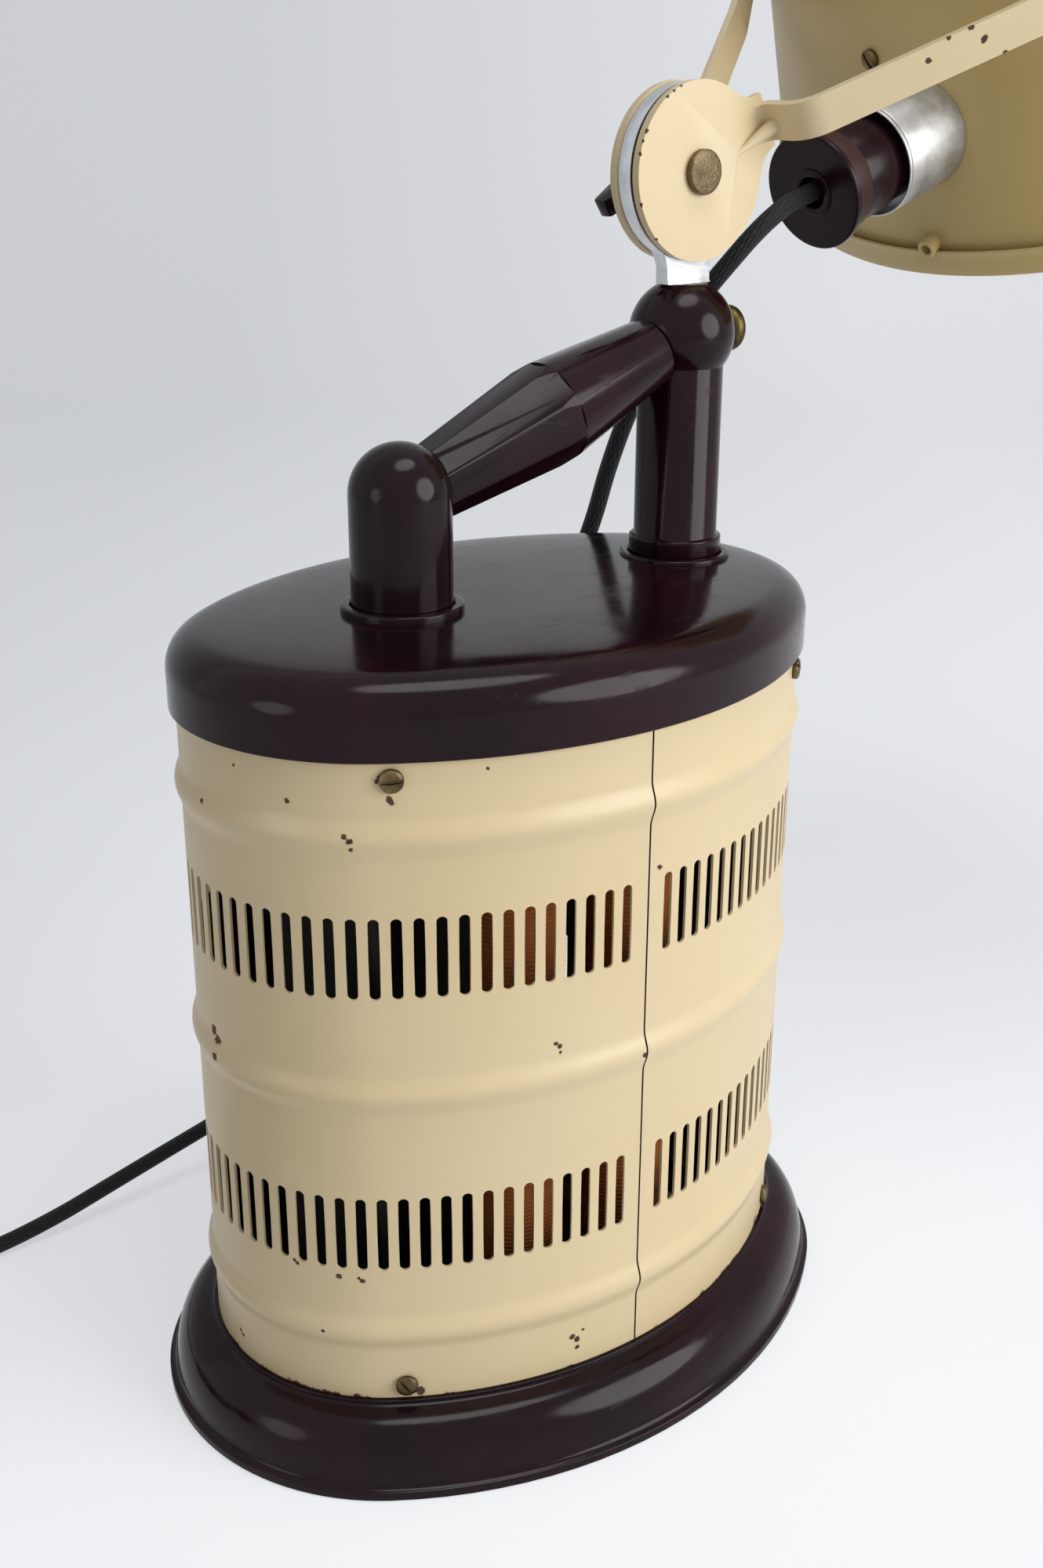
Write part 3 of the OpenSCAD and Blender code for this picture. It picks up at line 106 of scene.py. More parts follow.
def bead(z):
    """How far the shell stands out at a height, because of its three rounded beads."""
    rises = [1 + math.cos(math.pi * (z - c) / BEAD_HALF) for c in BEADS if abs(z - c) < BEAD_HALF]
    return max(rises + [0]) * BEAD_RISE / 2


def oval_spot(direction, z, shift=0):
    """A point on the shell where it faces a direction (degrees from +X), then shifted along it (mm)."""
    a = math.radians(direction)
    at_end = abs(math.cos(a)) > math.cos(math.radians(CORNER))
    r = END_R if at_end else SIDE_R
    centre_x = math.copysign(END_C, math.cos(a)) if at_end else 0
    centre_y = 0 if at_end else -math.copysign(SIDE_C, math.sin(a))
    a += shift / r
    r += bead(z)
    return Vector(mm(centre_x + r * math.cos(a), centre_y + r * math.sin(a), z))


# Camera
def photographer_camera():
    """The camera that was solved on the photograph."""
    data = bpy.data.cameras.new("photo_camera")
    data.lens = 39.79
    data.sensor_width = 36
    data.clip_start = 0.01
    data.clip_end = 50
    camera = bpy.data.objects.new("photo_camera", data)
    scene.collection.objects.link(camera)
    right = Vector((0.769, -0.639, 0.0))
    ahead = Vector((0.5962, 0.7173, -0.3606)).normalized()
    right = (right - right.dot(ahead) * ahead).normalized()
    up = right.cross(ahead)
    roll = Matrix.Rotation(math.radians(-0.146), 3, ahead)
    right, up = roll @ right, roll @ up
    turn = Matrix((right, up, -ahead)).transposed().to_4x4()
    camera.matrix_world = Matrix.Translation(mm(-367.5, -452.4, 441.6)) @ turn
    scene.camera = camera


photographer_camera()


# Small tools for materials
class Paint:
    """A material under construction; each method adds a node and returns its output."""

    def __init__(self, name):
        self.material = bpy.data.materials.new(name)
        self.material.use_nodes = True
        self.tree = self.material.node_tree
        self.shader = self.tree.nodes["Principled BSDF"]

    def add(self, kind, **settings):
        node = self.tree.nodes.new(kind)
        for key, value in settings.items():
            setattr(node, key, value)
        return node

    def join(self, source, target):
        self.tree.links.new(source, target)

    def fill(self, socket, value):
        if hasattr(value, "is_linked") or hasattr(value, "links"):
            self.join(value, socket)
        else:
            socket.default_value = value

    def place(self):
        return self.add("ShaderNodeTexCoord").outputs["Object"]

    def noise(self, scale, detail=3, rough=0.5, at=None, stretch=None):
        at = at or self.place()
        if stretch:
            mapping = self.add("ShaderNodeMapping")
            mapping.inputs["Scale"].default_value = stretch
            self.join(at, mapping.inputs["Vector"])
            at = mapping.outputs["Vector"]
        node = self.add("ShaderNodeTexNoise")
        self.join(at, node.inputs["Vector"])
        node.inputs["Scale"].default_value = scale
        node.inputs["Detail"].default_value = detail
        node.inputs["Roughness"].default_value = rough
        return node.outputs["Fac"]

    def ramp(self, value, low, high, from_value=0.0, to_value=1.0):
        node = self.add("ShaderNodeMapRange")
        node.clamp = True
        self.join(value, node.inputs["Value"])
        node.inputs["From Min"].default_value = low
        node.inputs["From Max"].default_value = high
        node.inputs["To Min"].default_value = from_value
        node.inputs["To Max"].default_value = to_value
        return node.outputs["Result"]

    def sum(self, kind, a, b=0.5):
        node = self.add("ShaderNodeMath", operation=kind)
        self.fill(node.inputs[0], a)
        self.fill(node.inputs[1], b)
        return node.outputs[0]

    def mix(self, how_much, a, b):
        node = self.add("ShaderNodeMix", data_type="RGBA")
        self.fill(node.inputs["Factor"], how_much)
        self.fill(node.inputs[6], a)
        self.fill(node.inputs[7], b)
        return node.outputs[2]

    def bump(self, height, strength, distance):
        node = self.add("ShaderNodeBump")
        node.inputs["Strength"].default_value = strength
        node.inputs["Distance"].default_value = distance
        self.join(height, node.inputs["Height"])
        self.join(node.outputs["Normal"], self.shader.inputs["Normal"])
        return node

    def set(self, **sockets):
        for name, value in sockets.items():
            self.fill(self.shader.inputs[name.replace("_", " ")], value)


def colour(r, g, b):
    return (r, g, b, 1.0)


# The lamp's finishes
def enamel(name, base, marks=(), lip=None):
    """Old stove enamel, slightly mottled, with chipped to rusty steel at its marks (place, radius in mm)."""
    p = Paint(name)
    place = p.place()
    darker = colour(base[0] * 0.95, base[1] * 0.93, base[2] * 0.87)
    shade = p.mix(p.ramp(p.noise(9, 4), 0.35, 0.7), colour(*base), darker)
    shade = p.mix(p.sum("MULTIPLY", p.ramp(p.noise(110, 5, 0.7), 0.6, 0.8), 0.35), shade, darker)
    ragged = p.ramp(p.noise(520, 4, 0.7), 0.25, 0.75, -1, 1)
    worn = None
    for spot, radius in marks:
        away = p.add("ShaderNodeVectorMath", operation="DISTANCE")
        p.join(place, away.inputs[0])
        away.inputs[1].default_value = spot
        near = p.ramp(away.outputs["Value"], 0, 2.6 * radius * MM, 1, 0)
        worn = near if worn is None else p.sum("MAXIMUM", worn, near)
    if lip is not None:
        split = p.add("ShaderNodeSeparateXYZ")
        p.join(place, split.inputs[0])
        patchy = p.ramp(p.noise(60, 3, 0.6), 0.35, 0.7, 0.1, 1)
        low = p.sum("MULTIPLY", p.ramp(split.outputs["Z"], lip * MM, (lip + 3.2) * MM, 0.85, 0), patchy)
        worn = low if worn is None else p.sum("MAXIMUM", worn, low)
    specks = p.add("ShaderNodeTexVoronoi")
    specks.inputs["Scale"].default_value = 120
    p.join(place, specks.inputs["Vector"])
    rare = p.ramp(p.noise(31, 2), 0.66, 0.7)
    dots = p.sum("MULTIPLY", p.ramp(specks.outputs["Distance"], 0.015, 0.07, 0.8, 0), rare)
    worn = dots if worn is None else p.sum("MAXIMUM", worn, dots)
    mask = p.sum("ADD", worn, p.sum("MULTIPLY", ragged, 0.3))
    chip = p.ramp(mask, 0.55, 0.6)
    halo = p.ramp(mask, 0.4, 0.56, 0, 0.45)
    rust = p.mix(p.ramp(p.noise(260, 3), 0.35, 0.7), colour(0.022, 0.014, 0.011), colour(0.11, 0.05, 0.022))
    stain = colour(base[0] * 0.62, base[1] * 0.45, base[2] * 0.3)
    p.set(Base_Color=p.mix(chip, p.mix(halo, shade, stain), rust))
    dull = p.ramp(p.noise(38, 5, 0.6), 0.3, 0.75, 0.3, 0.42)
    p.set(Roughness=p.sum("MAXIMUM", dull, p.sum("MULTIPLY", chip, 0.8)))
    p.shader.inputs["Specular IOR Level"].default_value = 0.45
    height = p.sum("SUBTRACT", p.sum("MULTIPLY", p.noise(900, 2), 0.1), chip)
    p.bump(height, 0.5, 0.00025)
    return p.material


def moulded(name, base, rough=0.12):
    """Dark moulded phenolic: a deep gloss over a brown cloud, with dust, smears and fine scratches."""
    p = Paint(name)
    cloud = p.noise(16, 5, 0.62, stretch=(1, 1, 0.5))
    redder = colour(base[0] * 2.6, base[1] * 1.7, base[2] * 1.8)
    shade = p.mix(p.ramp(cloud, 0.42, 0.75), colour(*base), redder)
    specks = p.ramp(p.noise(1900, 2, 0.8), 0.735, 0.76, 0, 0.55)
    rare = p.ramp(p.noise(28, 2), 0.5, 0.62)
    p.set(Base_Color=p.mix(p.sum("MULTIPLY", specks, rare), shade, colour(0.16, 0.12, 0.10)))
    smear = p.ramp(p.noise(55, 4, 0.7), 0.42, 0.8, rough, rough + 0.13)
    scratch = p.ramp(p.noise(700, 2, 0.5, stretch=(0.06, 1, 0.5)), 0.66, 0.7, 0, 0.16)
    p.set(Roughness=p.sum("ADD", smear, scratch))
    p.shader.inputs["Specular IOR Level"].default_value = 0.17
    p.bump(p.noise(24, 2), 0.1, 0.0008)
    return p.material


def metal(name, base, rough, bite=0.1, dark=0.7, grain=260, patina=None):
    """Bare metal with small differences of colour and polish."""
    p = Paint(name)
    cloud = p.noise(70, 5, 0.65)
    worn = colour(*[c * dark for c in base]) if patina is None else colour(*patina)
    p.set(Base_Color=p.mix(p.ramp(cloud, 0.38, 0.68), colour(*base), worn))
    p.shader.inputs["Metallic"].default_value = 1.0
    p.set(Roughness=p.ramp(p.noise(180, 4, 0.7), 0.3, 0.75, rough, rough + 0.16))
    p.bump(p.noise(grain, 3), bite, 0.0004)
    return p.material


def plain(name, base, rough, metallic=0.0, grain=500, bite=0.15):
    """A quiet, even surface."""
    p = Paint(name)
    shade = p.noise(60, 4)
    p.set(Base_Color=p.mix(p.ramp(shade, 0.3, 0.7), colour(*base), colour(*[c * 0.86 for c in base])))
    p.shader.inputs["Metallic"].default_value = metallic
    p.shader.inputs["Roughness"].default_value = rough
    p.bump(p.noise(grain, 3), bite, 0.0003)
    return p.material


def braided_cloth(name, around=14, per_metre=150):
    """Braid on a cord: crossing strands drawn along the tube's own map."""
    p = Paint(name)
    where = p.add("ShaderNodeUVMap", uv_map="along").outputs["UV"]
    split = p.add("ShaderNodeSeparateXYZ")
    p.join(where, split.inputs[0])
    along = p.sum("MULTIPLY", split.outputs["X"], per_metre)
    round_it = p.sum("MULTIPLY", split.outputs["Y"], around)
    strands = []
    for way in ("ADD", "SUBTRACT"):
        wave = p.sum("SINE", p.sum("MULTIPLY", p.sum(way, along, round_it), math.pi))
        strands.append(p.sum("ABSOLUTE", wave))
    weave = p.sum("MULTIPLY", *strands)
    fluff = p.ramp(p.noise(900, 3, 0.7), 0.4, 0.75, 0.8, 1.3)
    dark, light = colour(0.002, 0.002, 0.002), colour(0.011, 0.012, 0.014)
    p.set(Base_Color=p.mix(p.sum("MULTIPLY", weave, fluff), dark, light))
    p.shader.inputs["Roughness"].default_value = 0.6
    p.shader.inputs["Sheen Weight"].default_value = 0.04
    p.shader.inputs["Specular IOR Level"].default_value = 0.25
    p.bump(weave, 0.8, 0.0005)
    return p.material


def glass(name, base, rough):
    p = Paint(name)
    p.set(Base_Color=colour(*base))
    p.shader.inputs["Roughness"].default_value = rough
    p.shader.inputs["Transmission Weight"].default_value = 1.0
    p.shader.inputs["IOR"].default_value = 1.47
    return p.material


CREAM = (0.71, 0.58, 0.36)
# Patches of chips on the shell: the direction it faces there (degrees), height, size and number of chips
SHELL_CHIPS = (
    (227, 237, 0.9, 3), (210, 248, 0.7, 1), (179, 240, 0.8, 1), (177, 153, 1.8, 3), (255, 158, 0.8, 3),
    (269, 213, 0.9, 1), (267, 146, 0.9, 1), (206, 79, 0.7, 2), (219, 77, 0.9, 1), (226, 76, 0.7, 2),
    (214, 55, 0.6, 1), (258, 38, 1.1, 4), (237, 30, 1.6, 3), (180, 35, 0.8, 2), (300, 29, 1.4, 1),
    (235, 254, 1.5, 3), (193, 256, 0.6, 1), (246, 258, 0.6, 1),
)
# Chips round the rim of the near disc (degrees), and on the near arm's run (along, across, size)
RIM_CHIPS = (112, 119, 126, 153, 160, 168, 200, 226)
RUN_CHIPS = ((72, 2, 0.8), (79, 6.5, 0.8), (86, 6.5, 1.0), (89, 1, 1.1), (94, -6.5, 0.8))


def shell_marks():
    """The chips of each patch lie round its first one, each a little smaller."""
    marks = []
    for direction, z, size, count in SHELL_CHIPS:
        for k in range(count):
            reach = 2.2 * size * math.sqrt(k)
            spot = oval_spot(direction, z + reach * math.sin(2.4 * k), reach * math.cos(2.4 * k))
            marks.append((spot, size * 0.85 ** k))
    return marks


def arm_marks():
    """Chips on the near disc's rim and on the outer face of the near arm's slanting run."""
    marks = []
    for degrees in RIM_CHIPS:
        a = math.radians(degrees)
        marks.append((AT_JOINT @ Vector(mm(DISC_R * math.cos(a), 0.2 - DISC_Y1, DISC_R * math.sin(a))), 0.6))
    for along, across, size in RUN_CHIPS:
        out = RUN_START_Y + (along - RUN_START_X) * math.tan(math.radians(RUN_SLANT))
        marks.append((IN_FORK @ Vector(mm(along, -out, across)), size))
    return marks


finishes = {
    "cream_enamel": enamel("cream_enamel", CREAM),
    # The bell's enamel is a darker, more olive copy of the cream: painted shade.
    "enamelled_aluminium": enamel("bell_enamel_painted_shade", (0.63, 0.475, 0.205)),
    "bakelite": moulded("bakelite", (0.0085, 0.0024, 0.0042)),
    "aged_brass": metal("aged_brass", (0.19, 0.135, 0.065), 0.36, 0.5, patina=(0.06, 0.042, 0.025)),
    "plated_steel": metal("plated_steel", (0.52, 0.52, 0.52), 0.34),
    "bright_aluminium": metal("bright_aluminium", (0.80, 0.80, 0.81), 0.2, 0.08, 0.86),
    "porcelain": plain("porcelain", (0.74, 0.70, 0.62), 0.3),
    "resistance_wire": plain("oxidised_wire", (0.78, 0.27, 0.075), 0.38, 0.3),
    "fibre": plain("fibre", (0.012, 0.010, 0.009), 0.6),
    "braid": plain("plain_braid", (0.006, 0.006, 0.007), 0.6),
    "rubber": plain("rubber", (0.012, 0.012, 0.012), 0.55),
    "tie": plain("tie_tape", (0.62, 0.56, 0.44), 0.8),
    "felt": plain("green_felt", (0.02, 0.06, 0.03), 0.95),
    "clear_glass": glass("clear_glass", (0.97, 0.99, 1.0), 0.02),
    "quartz": glass("quartz", (0.95, 0.96, 0.98), 0.12),
}
shell_paint = enamel("shell_enamel", CREAM, shell_marks(), lip=27.5)
# Near-black painted shade for the shell's inner faces and seam edges.
painted_shade_inside = plain("painted_shade_inside", (0.018, 0.015, 0.013), 0.75)
arm_paint = enamel("arm_enamel", CREAM, arm_marks())
shaded_bell_paint = finishes["enamelled_aluminium"]
# Dark steel and dark porcelain for the parts inside the housing: painted shade.
shade_dark_steel = metal("shade_darkened_steel", (0.055, 0.05, 0.045), 0.5, 0.2, 0.6)
shade_darkened_porcelain = plain("shade_darkened_porcelain", (0.10, 0.075, 0.05), 0.7)
cast_aluminium = metal("cast_aluminium", (0.66, 0.67, 0.69), 0.17, 0.05, 0.8)
dull_aluminium = metal("dull_aluminium", (0.58, 0.58, 0.585), 0.4, 0.12, 0.66)
pebbled_bronze = metal("pebbled_bronze", (0.20, 0.15, 0.085), 0.34, 0.9, grain=1300,
                       patina=(0.09, 0.065, 0.038))
olive_brass = metal("olive_brass", (0.13, 0.095, 0.035), 0.33, 0.3, patina=(0.05, 0.038, 0.02))
holder_bakelite = moulded("holder_bakelite", (0.011, 0.0035, 0.006), 0.22)
dull_bakelite = moulded("dull_bakelite", (0.034, 0.017, 0.016), 0.4)
# Parts inside the housing take darkened copies of their finishes: painted shade.
PAINTED_SHADE_INSIDE = {name: shade_dark_steel for name in
          ("tie_rods", "tube_rods", "rod_nuts", "ballast_top_plate", "base_plate", "post_studs")}
PAINTED_SHADE_INSIDE.update({name: shade_darkened_porcelain for name in ("ballast_cores", "tube_bushes")})
for entry in frame["record"]["subparts"]:
    for slot in frame["nodes"][entry["node"]].material_slots:
        slot.material = PAINTED_SHADE_INSIDE.get(entry["node"], finishes[entry["material_slot"]])


# Cords
def smooth_line(points, step):
    """A smooth line through given points (mm), with samples about a step apart, in metres."""
    line = []
    count = len(points)
    for i in range(count - 1):
        a, b = Vector(points[max(i - 1, 0)]), Vector(points[i])
        c, d = Vector(points[i + 1]), Vector(points[min(i + 2, count - 1)])
        pieces = max(1, round((c - b).length / step))
        for k in range(pieces):
            t = k / pieces
            line.append(0.5 * (2 * b + (c - a) * t + (2 * a - 5 * b + 4 * c - d) * t * t
                               + (3 * b - a - 3 * c + d) * t ** 3) * MM)
    line.append(Vector(points[-1]) * MM)
    return line


def cord_frames(line, up=(0, 0, 1)):
    """Sideways and upward directions along a line, turning as little as they can."""
    frames, side = [], None
    for i in range(len(line)):
        ahead = (line[min(i + 1, len(line) - 1)] - line[max(i - 1, 0)]).normalized()
        side = ahead.cross(Vector(up)) if side is None else side - side.dot(ahead) * ahead
        side.normalize()
        frames.append((side.copy(), side.cross(ahead)))
    return frames


def cord_tube(name, line, diameter, sides=16, up=(0, 0, 1), first=0, last=None):
    """A closed tube along a line, or a stretch of it; its length and its turn are kept as the braid's map."""
    mesh = bpy.data.meshes.new(name)
    radius = diameter / 2
    frames = cord_frames(line, up)
    run = [0.0]
    for a, b in zip(line, line[1:]):
        run.append(run[-1] + (b - a).length)
    bm = bmesh.new()
    layer = bm.loops.layers.uv.new("along")
    rings = []
    stretch = range(first, len(line) if last is None else last + 1)
    turns = [2 * math.pi * k / sides for k in range(sides)]
    for i in stretch:
        side, over = frames[i]
        spots = [line[i] + radius * (math.cos(a) * side + math.sin(a) * over) for a in turns]
        rings.append([bm.verts.new(spot) for spot in spots])
    for j, i in enumerate(stretch[:-1]):
        for k in range(sides):
            n = (k + 1) % sides
            face = bm.faces.new((rings[j][k], rings[j][n], rings[j + 1][n], rings[j + 1][k]))
            face.smooth = True
            corners = ((run[i], k), (run[i], k + 1), (run[i + 1], k + 1), (run[i + 1], k))
            for loop, (u, v) in zip(face.loops, corners):
                loop[layer].uv = (u, v / sides)
    for cap in (bm.faces.new(list(reversed(rings[0]))), bm.faces.new(rings[-1])):
        for edge in cap.edges:
            edge.smooth = False
    bmesh.ops.recalc_face_normals(bm, faces=bm.faces)
    bm.to_mesh(mesh)
    bm.free()
    tube = bpy.data.objects.new(name, mesh)
    scene.collection.objects.link(tube)
    return tube


braid = braided_cloth("braided_cotton")
lead_braid = braided_cloth("lead_cotton")
MAINS_D = 6.4
MAINS_ROUTE = [
    (25.4, 71.8, 38), (29.2, 93.4, 38), (31.6, 107.2, 38), (30, 122, 36.6), (20.5, 135.5, 34),
    (4, 143.6, 30.8), (-16, 146, 28), (-36, 146, 25), (-56, 145.4, 21.6), (-78, 145.2, 17.4),
    (-100, 145.4, 12.8), (-122, 146, 8), (-144, 147, 4.6), (-166, 147.9, 3.35), (-191, 148, 3.2),
    (-192, 148, 3.2),
]
COIL_X, COIL_Y, COIL_R, COIL_TURNS, COIL_PITCH = -237, 100, 48, 6.25, 7
TAIL_ROUTE = [
    (-285, 93.6, 10.2), (-285, 92.6, 10.2), (-285, 85, 12), (-285, 78, 15.4), (-285, 71, 17), (-285, 70, 17),
]


def coil_points(per_turn):
    """The coil spirals in on the floor, climbs one layer and spirals out again."""
    points = []
    steps = round(COIL_TURNS * per_turn)
    half = COIL_TURNS / 2
    for i in range(steps + 1):
        t = COIL_TURNS * i / steps
        r = COIL_R - COIL_PITCH * (half - abs(t - half))
        climb = max(0.0, min(1.0, (t - half) * 2 + 0.5))
        z = MAINS_D / 2 + COIL_PITCH * climb * climb * (3 - 2 * climb)
        a = math.radians(90 + 360 * t)
        points.append((COIL_X + r * math.cos(a), COIL_Y + r * math.sin(a), z))
    return points


mains_line = smooth_line(MAINS_ROUTE + coil_points(24) + TAIL_ROUTE, 3)
mains_cord = cord_tube("mains_cord", mains_line, MAINS_D * MM)
mains_cord.data.materials.append(braid)
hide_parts("mains_lead", "mains_coil")
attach(mains_cord, "housing")

LEAD_D = 7
LEAD_LOWER = [
    (77.8, 57.4, 221), (84, 67.8, 221), (87.6, 73.2, 223.4), (90.8, 76.4, 229.5), (94, 77.8, 238.5),
    (97.2, 77.5, 250), (100, 75, 263), (101.5, 71, 277), (102.5, 66, 291), (102, 60, 306),
    (101, 53, 320), (100, 45.5, 333), (100, 37, 346), (100.6, 28, 358),
]
LEAD_MIDDLE = [(102.5, 19, 370), (106, 11, 382), (112, 5.5, 392), (119, 2.5, 400)]
LEAD_UPPER = [(127, 0.8, 406.5), (136, 0, 411.5), (146, 0, 414.6), (164, 0, 420.5)]


def lamp_lead():
    """The lead from the housing to the lamp holder, one line cut at its two joints."""
    line = smooth_line(LEAD_LOWER + LEAD_MIDDLE + LEAD_UPPER, 2.5)
    first = min(range(len(line)), key=lambda i: (line[i] - Vector(mm(*LEAD_LOWER[-1]))).length)
    second = min(range(len(line)), key=lambda i: (line[i] - Vector(mm(*LEAD_MIDDLE[-1]))).length)
    parts = (
        ("lamp_lead_lower", 0, first, "lead_lower", "housing", "neck", LEAD_LOWER[1], LEAD_LOWER[-1]),
        ("lamp_lead_middle", first, second, "lead_middle", "neck", "fork", LEAD_LOWER[-1], LEAD_MIDDLE[-1]),
        ("lamp_lead_upper", second, None, "lead_upper", "fork", "head", LEAD_MIDDLE[-1], LEAD_UPPER[-2]),
    )
    for name, low, high, node, first_body, next_body, start, end in parts:
        tube = cord_tube(name, line, LEAD_D * MM, up=(1, 0, 0), first=low, last=high)
        tube.data.materials.append(lead_braid)
        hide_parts(node)
        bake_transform(tube)


lamp_lead()


# Ways of making pieces
def begin(name, kind, **sizes):
    """Adds a primitive with nothing else selected."""
    bpy.ops.object.select_all(action="DESELECT")
    getattr(bpy.ops.mesh, "primitive_" + kind + "_add")(**sizes)
    piece = bpy.context.object
    piece.name = name
    piece.data.name = name
    return piece


def only(piece):
    """Selects one piece and makes it active."""
    bpy.ops.object.select_all(action="DESELECT")
    piece.select_set(True)
    bpy.context.view_layer.objects.active = piece


def settle(piece=None):
    """Applies the place of a piece, or of the active one, to its mesh."""
    if piece is not None:
        only(piece)
    bpy.ops.object.transform_apply(location=True, rotation=True, scale=True)


def choose(piece, kind, wanted):
    """In edit mode, selects just the faces, edges or vertices that wanted() accepts."""
    bpy.ops.mesh.select_mode(type=kind)
    bpy.ops.mesh.select_all(action="DESELECT")
    bm = bmesh.from_edit_mesh(piece.data)
    items = {"VERT": bm.verts, "EDGE": bm.edges, "FACE": bm.faces}[kind]
    for item in items:
        if wanted(item):
            item.select_set(True)
    bm.select_flush_mode()
    bmesh.update_edit_mesh(piece.data)


def pull(step):
    """Extrudes what is selected by a step in metres."""
    bpy.ops.mesh.extrude_region_move(TRANSFORM_OT_translate={"value": tuple(step)})


def drawn_line(name, points):
    """A small plane is merged to one point, which is then pulled out through the given points (metres)."""
    piece = begin(name, "plane", size=0.001, location=points[0])
    settle()
    bpy.ops.object.mode_set(mode="EDIT")
    bpy.ops.mesh.select_mode(type="VERT")
    bpy.ops.mesh.select_all(action="SELECT")
    bpy.ops.mesh.merge(type="CENTER")
    for a, b in zip(points, points[1:]):
        pull(Vector(b) - Vector(a))
    return piece


def close_up(piece, doubles=0.000004):
    """Merges what lies on itself and turns all faces outwards."""
    bpy.ops.mesh.select_all(action="SELECT")
    bpy.ops.mesh.remove_doubles(threshold=doubles)
    bpy.ops.mesh.normals_make_consistent(inside=False)
    bpy.ops.object.mode_set(mode="OBJECT")
    return piece


def turned(name, profile, steps=64):
    """A profile of (radius, height) in mm, turned round the Z axis; a ring profile returns to its start."""
    piece = drawn_line(name, [mm(r, 0, z) for r, z in profile])
    bpy.ops.mesh.select_all(action="SELECT")
    bpy.ops.mesh.spin(steps=steps, angle=2 * math.pi, center=(0, 0, 0), axis=(0, 0, 1))
    return close_up(piece)


def plate(name, outline, y0, y1):
    """A flat plate with an outline of (x, z), between two heights along Y; all in mm."""
    piece = drawn_line(name, [mm(x, y0, z) for x, z in outline + outline[:1]])
    bpy.ops.mesh.select_all(action="SELECT")
    bpy.ops.mesh.remove_doubles(threshold=0.000004)
    bpy.ops.mesh.edge_face_add()
    pull(mm(0, y1 - y0, 0))
    return close_up(piece)


def bend(cx, cz, r, start, end, count):
    """Points on an arc, for profiles; angles in degrees from the outward direction."""
    return [(cx + r * math.cos(math.radians(start + (end - start) * i / count)),
             cz + r * math.sin(math.radians(start + (end - start) * i / count))) for i in range(count + 1)]


def modify(piece, kind, **settings):
    """Adds a modifier and applies it."""
    only(piece)
    modifier = piece.modifiers.new(kind.lower(), kind)
    for key, value in settings.items():
        setattr(modifier, key, value)
    bpy.ops.object.modifier_apply(modifier=modifier.name)
    return piece


def cut(piece, tool, operation="DIFFERENCE", solver="MANIFOLD"):
    """Cuts a piece with another, which is then removed."""
    modify(piece, "BOOLEAN", operation=operation, solver=solver, object=tool)
    bpy.data.objects.remove(tool, do_unlink=True)
    return piece


def soften(piece, width, segments=2, angle=35):
    """Rounds the edges that are sharper than an angle; width in mm."""
    return modify(piece, "BEVEL", width=width * MM, segments=segments, limit_method="ANGLE",
                  angle_limit=math.radians(angle), miter_outer="MITER_ARC", use_clamp_overlap=True)


def joined(pieces):
    """Joins pieces into the first."""
    only(pieces[0])
    for piece in pieces[1:]:
        piece.select_set(True)
    bpy.ops.object.join()
    return pieces[0]


def put(piece, place, body, slot, nodes=(), paint=None, crease=32):
    """Brings a finished piece to its place, gives it its finish and ties it to its body."""
    only(piece)
    bpy.ops.object.shade_smooth_by_angle(angle=math.radians(crease))
    piece.matrix_world = place
    settle()
    piece.data.materials.clear()
    piece.data.materials.append(paint or finishes[slot])
    if nodes:
        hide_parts(*nodes)
    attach(piece, body)
    return piece


# The oval
def side_spot(angle, off, z, sign=1):
    """A point on a side arc, off from the shell; sign 1 is the far (+Y) side."""
    a = math.radians(angle)
    return mm((SIDE_R + off) * math.cos(a), sign * ((SIDE_R + off) * math.sin(a) - SIDE_C), z)


def swept_oval(name, profile, end_steps=26, side_steps=18, closed=True):
    """A profile of (distance out from the shell, height) taken once round the oval."""
    line = list(profile) + ([profile[0]] if closed else [])
    piece = drawn_line(name, [side_spot(CORNER, off, z) for off, z in line])
    bpy.ops.mesh.select_all(action="SELECT")
    arcs = (((0, -SIDE_C), 180 - 2 * CORNER, side_steps), ((-END_C, 0), 2 * CORNER, end_steps),
            ((0, SIDE_C), 180 - 2 * CORNER, side_steps), ((END_C, 0), 2 * CORNER, end_steps))
    for (x, y), angle, steps in arcs:
        bpy.ops.mesh.spin(steps=steps, angle=-math.radians(angle), center=mm(x, y, 0), axis=(0, 0, 1))
    if not closed:
        bpy.ops.mesh.select_all(action="SELECT")
        bpy.ops.mesh.remove_doubles(threshold=0.000004)
        for level in (line[0][1], line[-1][1]):
            def open_edge(edge, z=level * MM):
                return edge.is_boundary and all(abs(v.co.z - z) < 1e-6 for v in edge.verts)
            choose(piece, "EDGE", open_edge)
            bpy.ops.mesh.edge_face_add()
    return close_up(piece)


# Housing
SHELL_Z0, SHELL_Z1, HALF_GAP = 27.5, 265, 0.35
SLOT_LONG, SLOT_WIDE, SLOT_PITCH, SLOT_COUNT = 28.1, 3.7, 7.11, 44
SLOT_ROWS = (94.2, 196.1)
SCREW_ANGLE, SCREW_ROWS = 55.3, (33, 256)




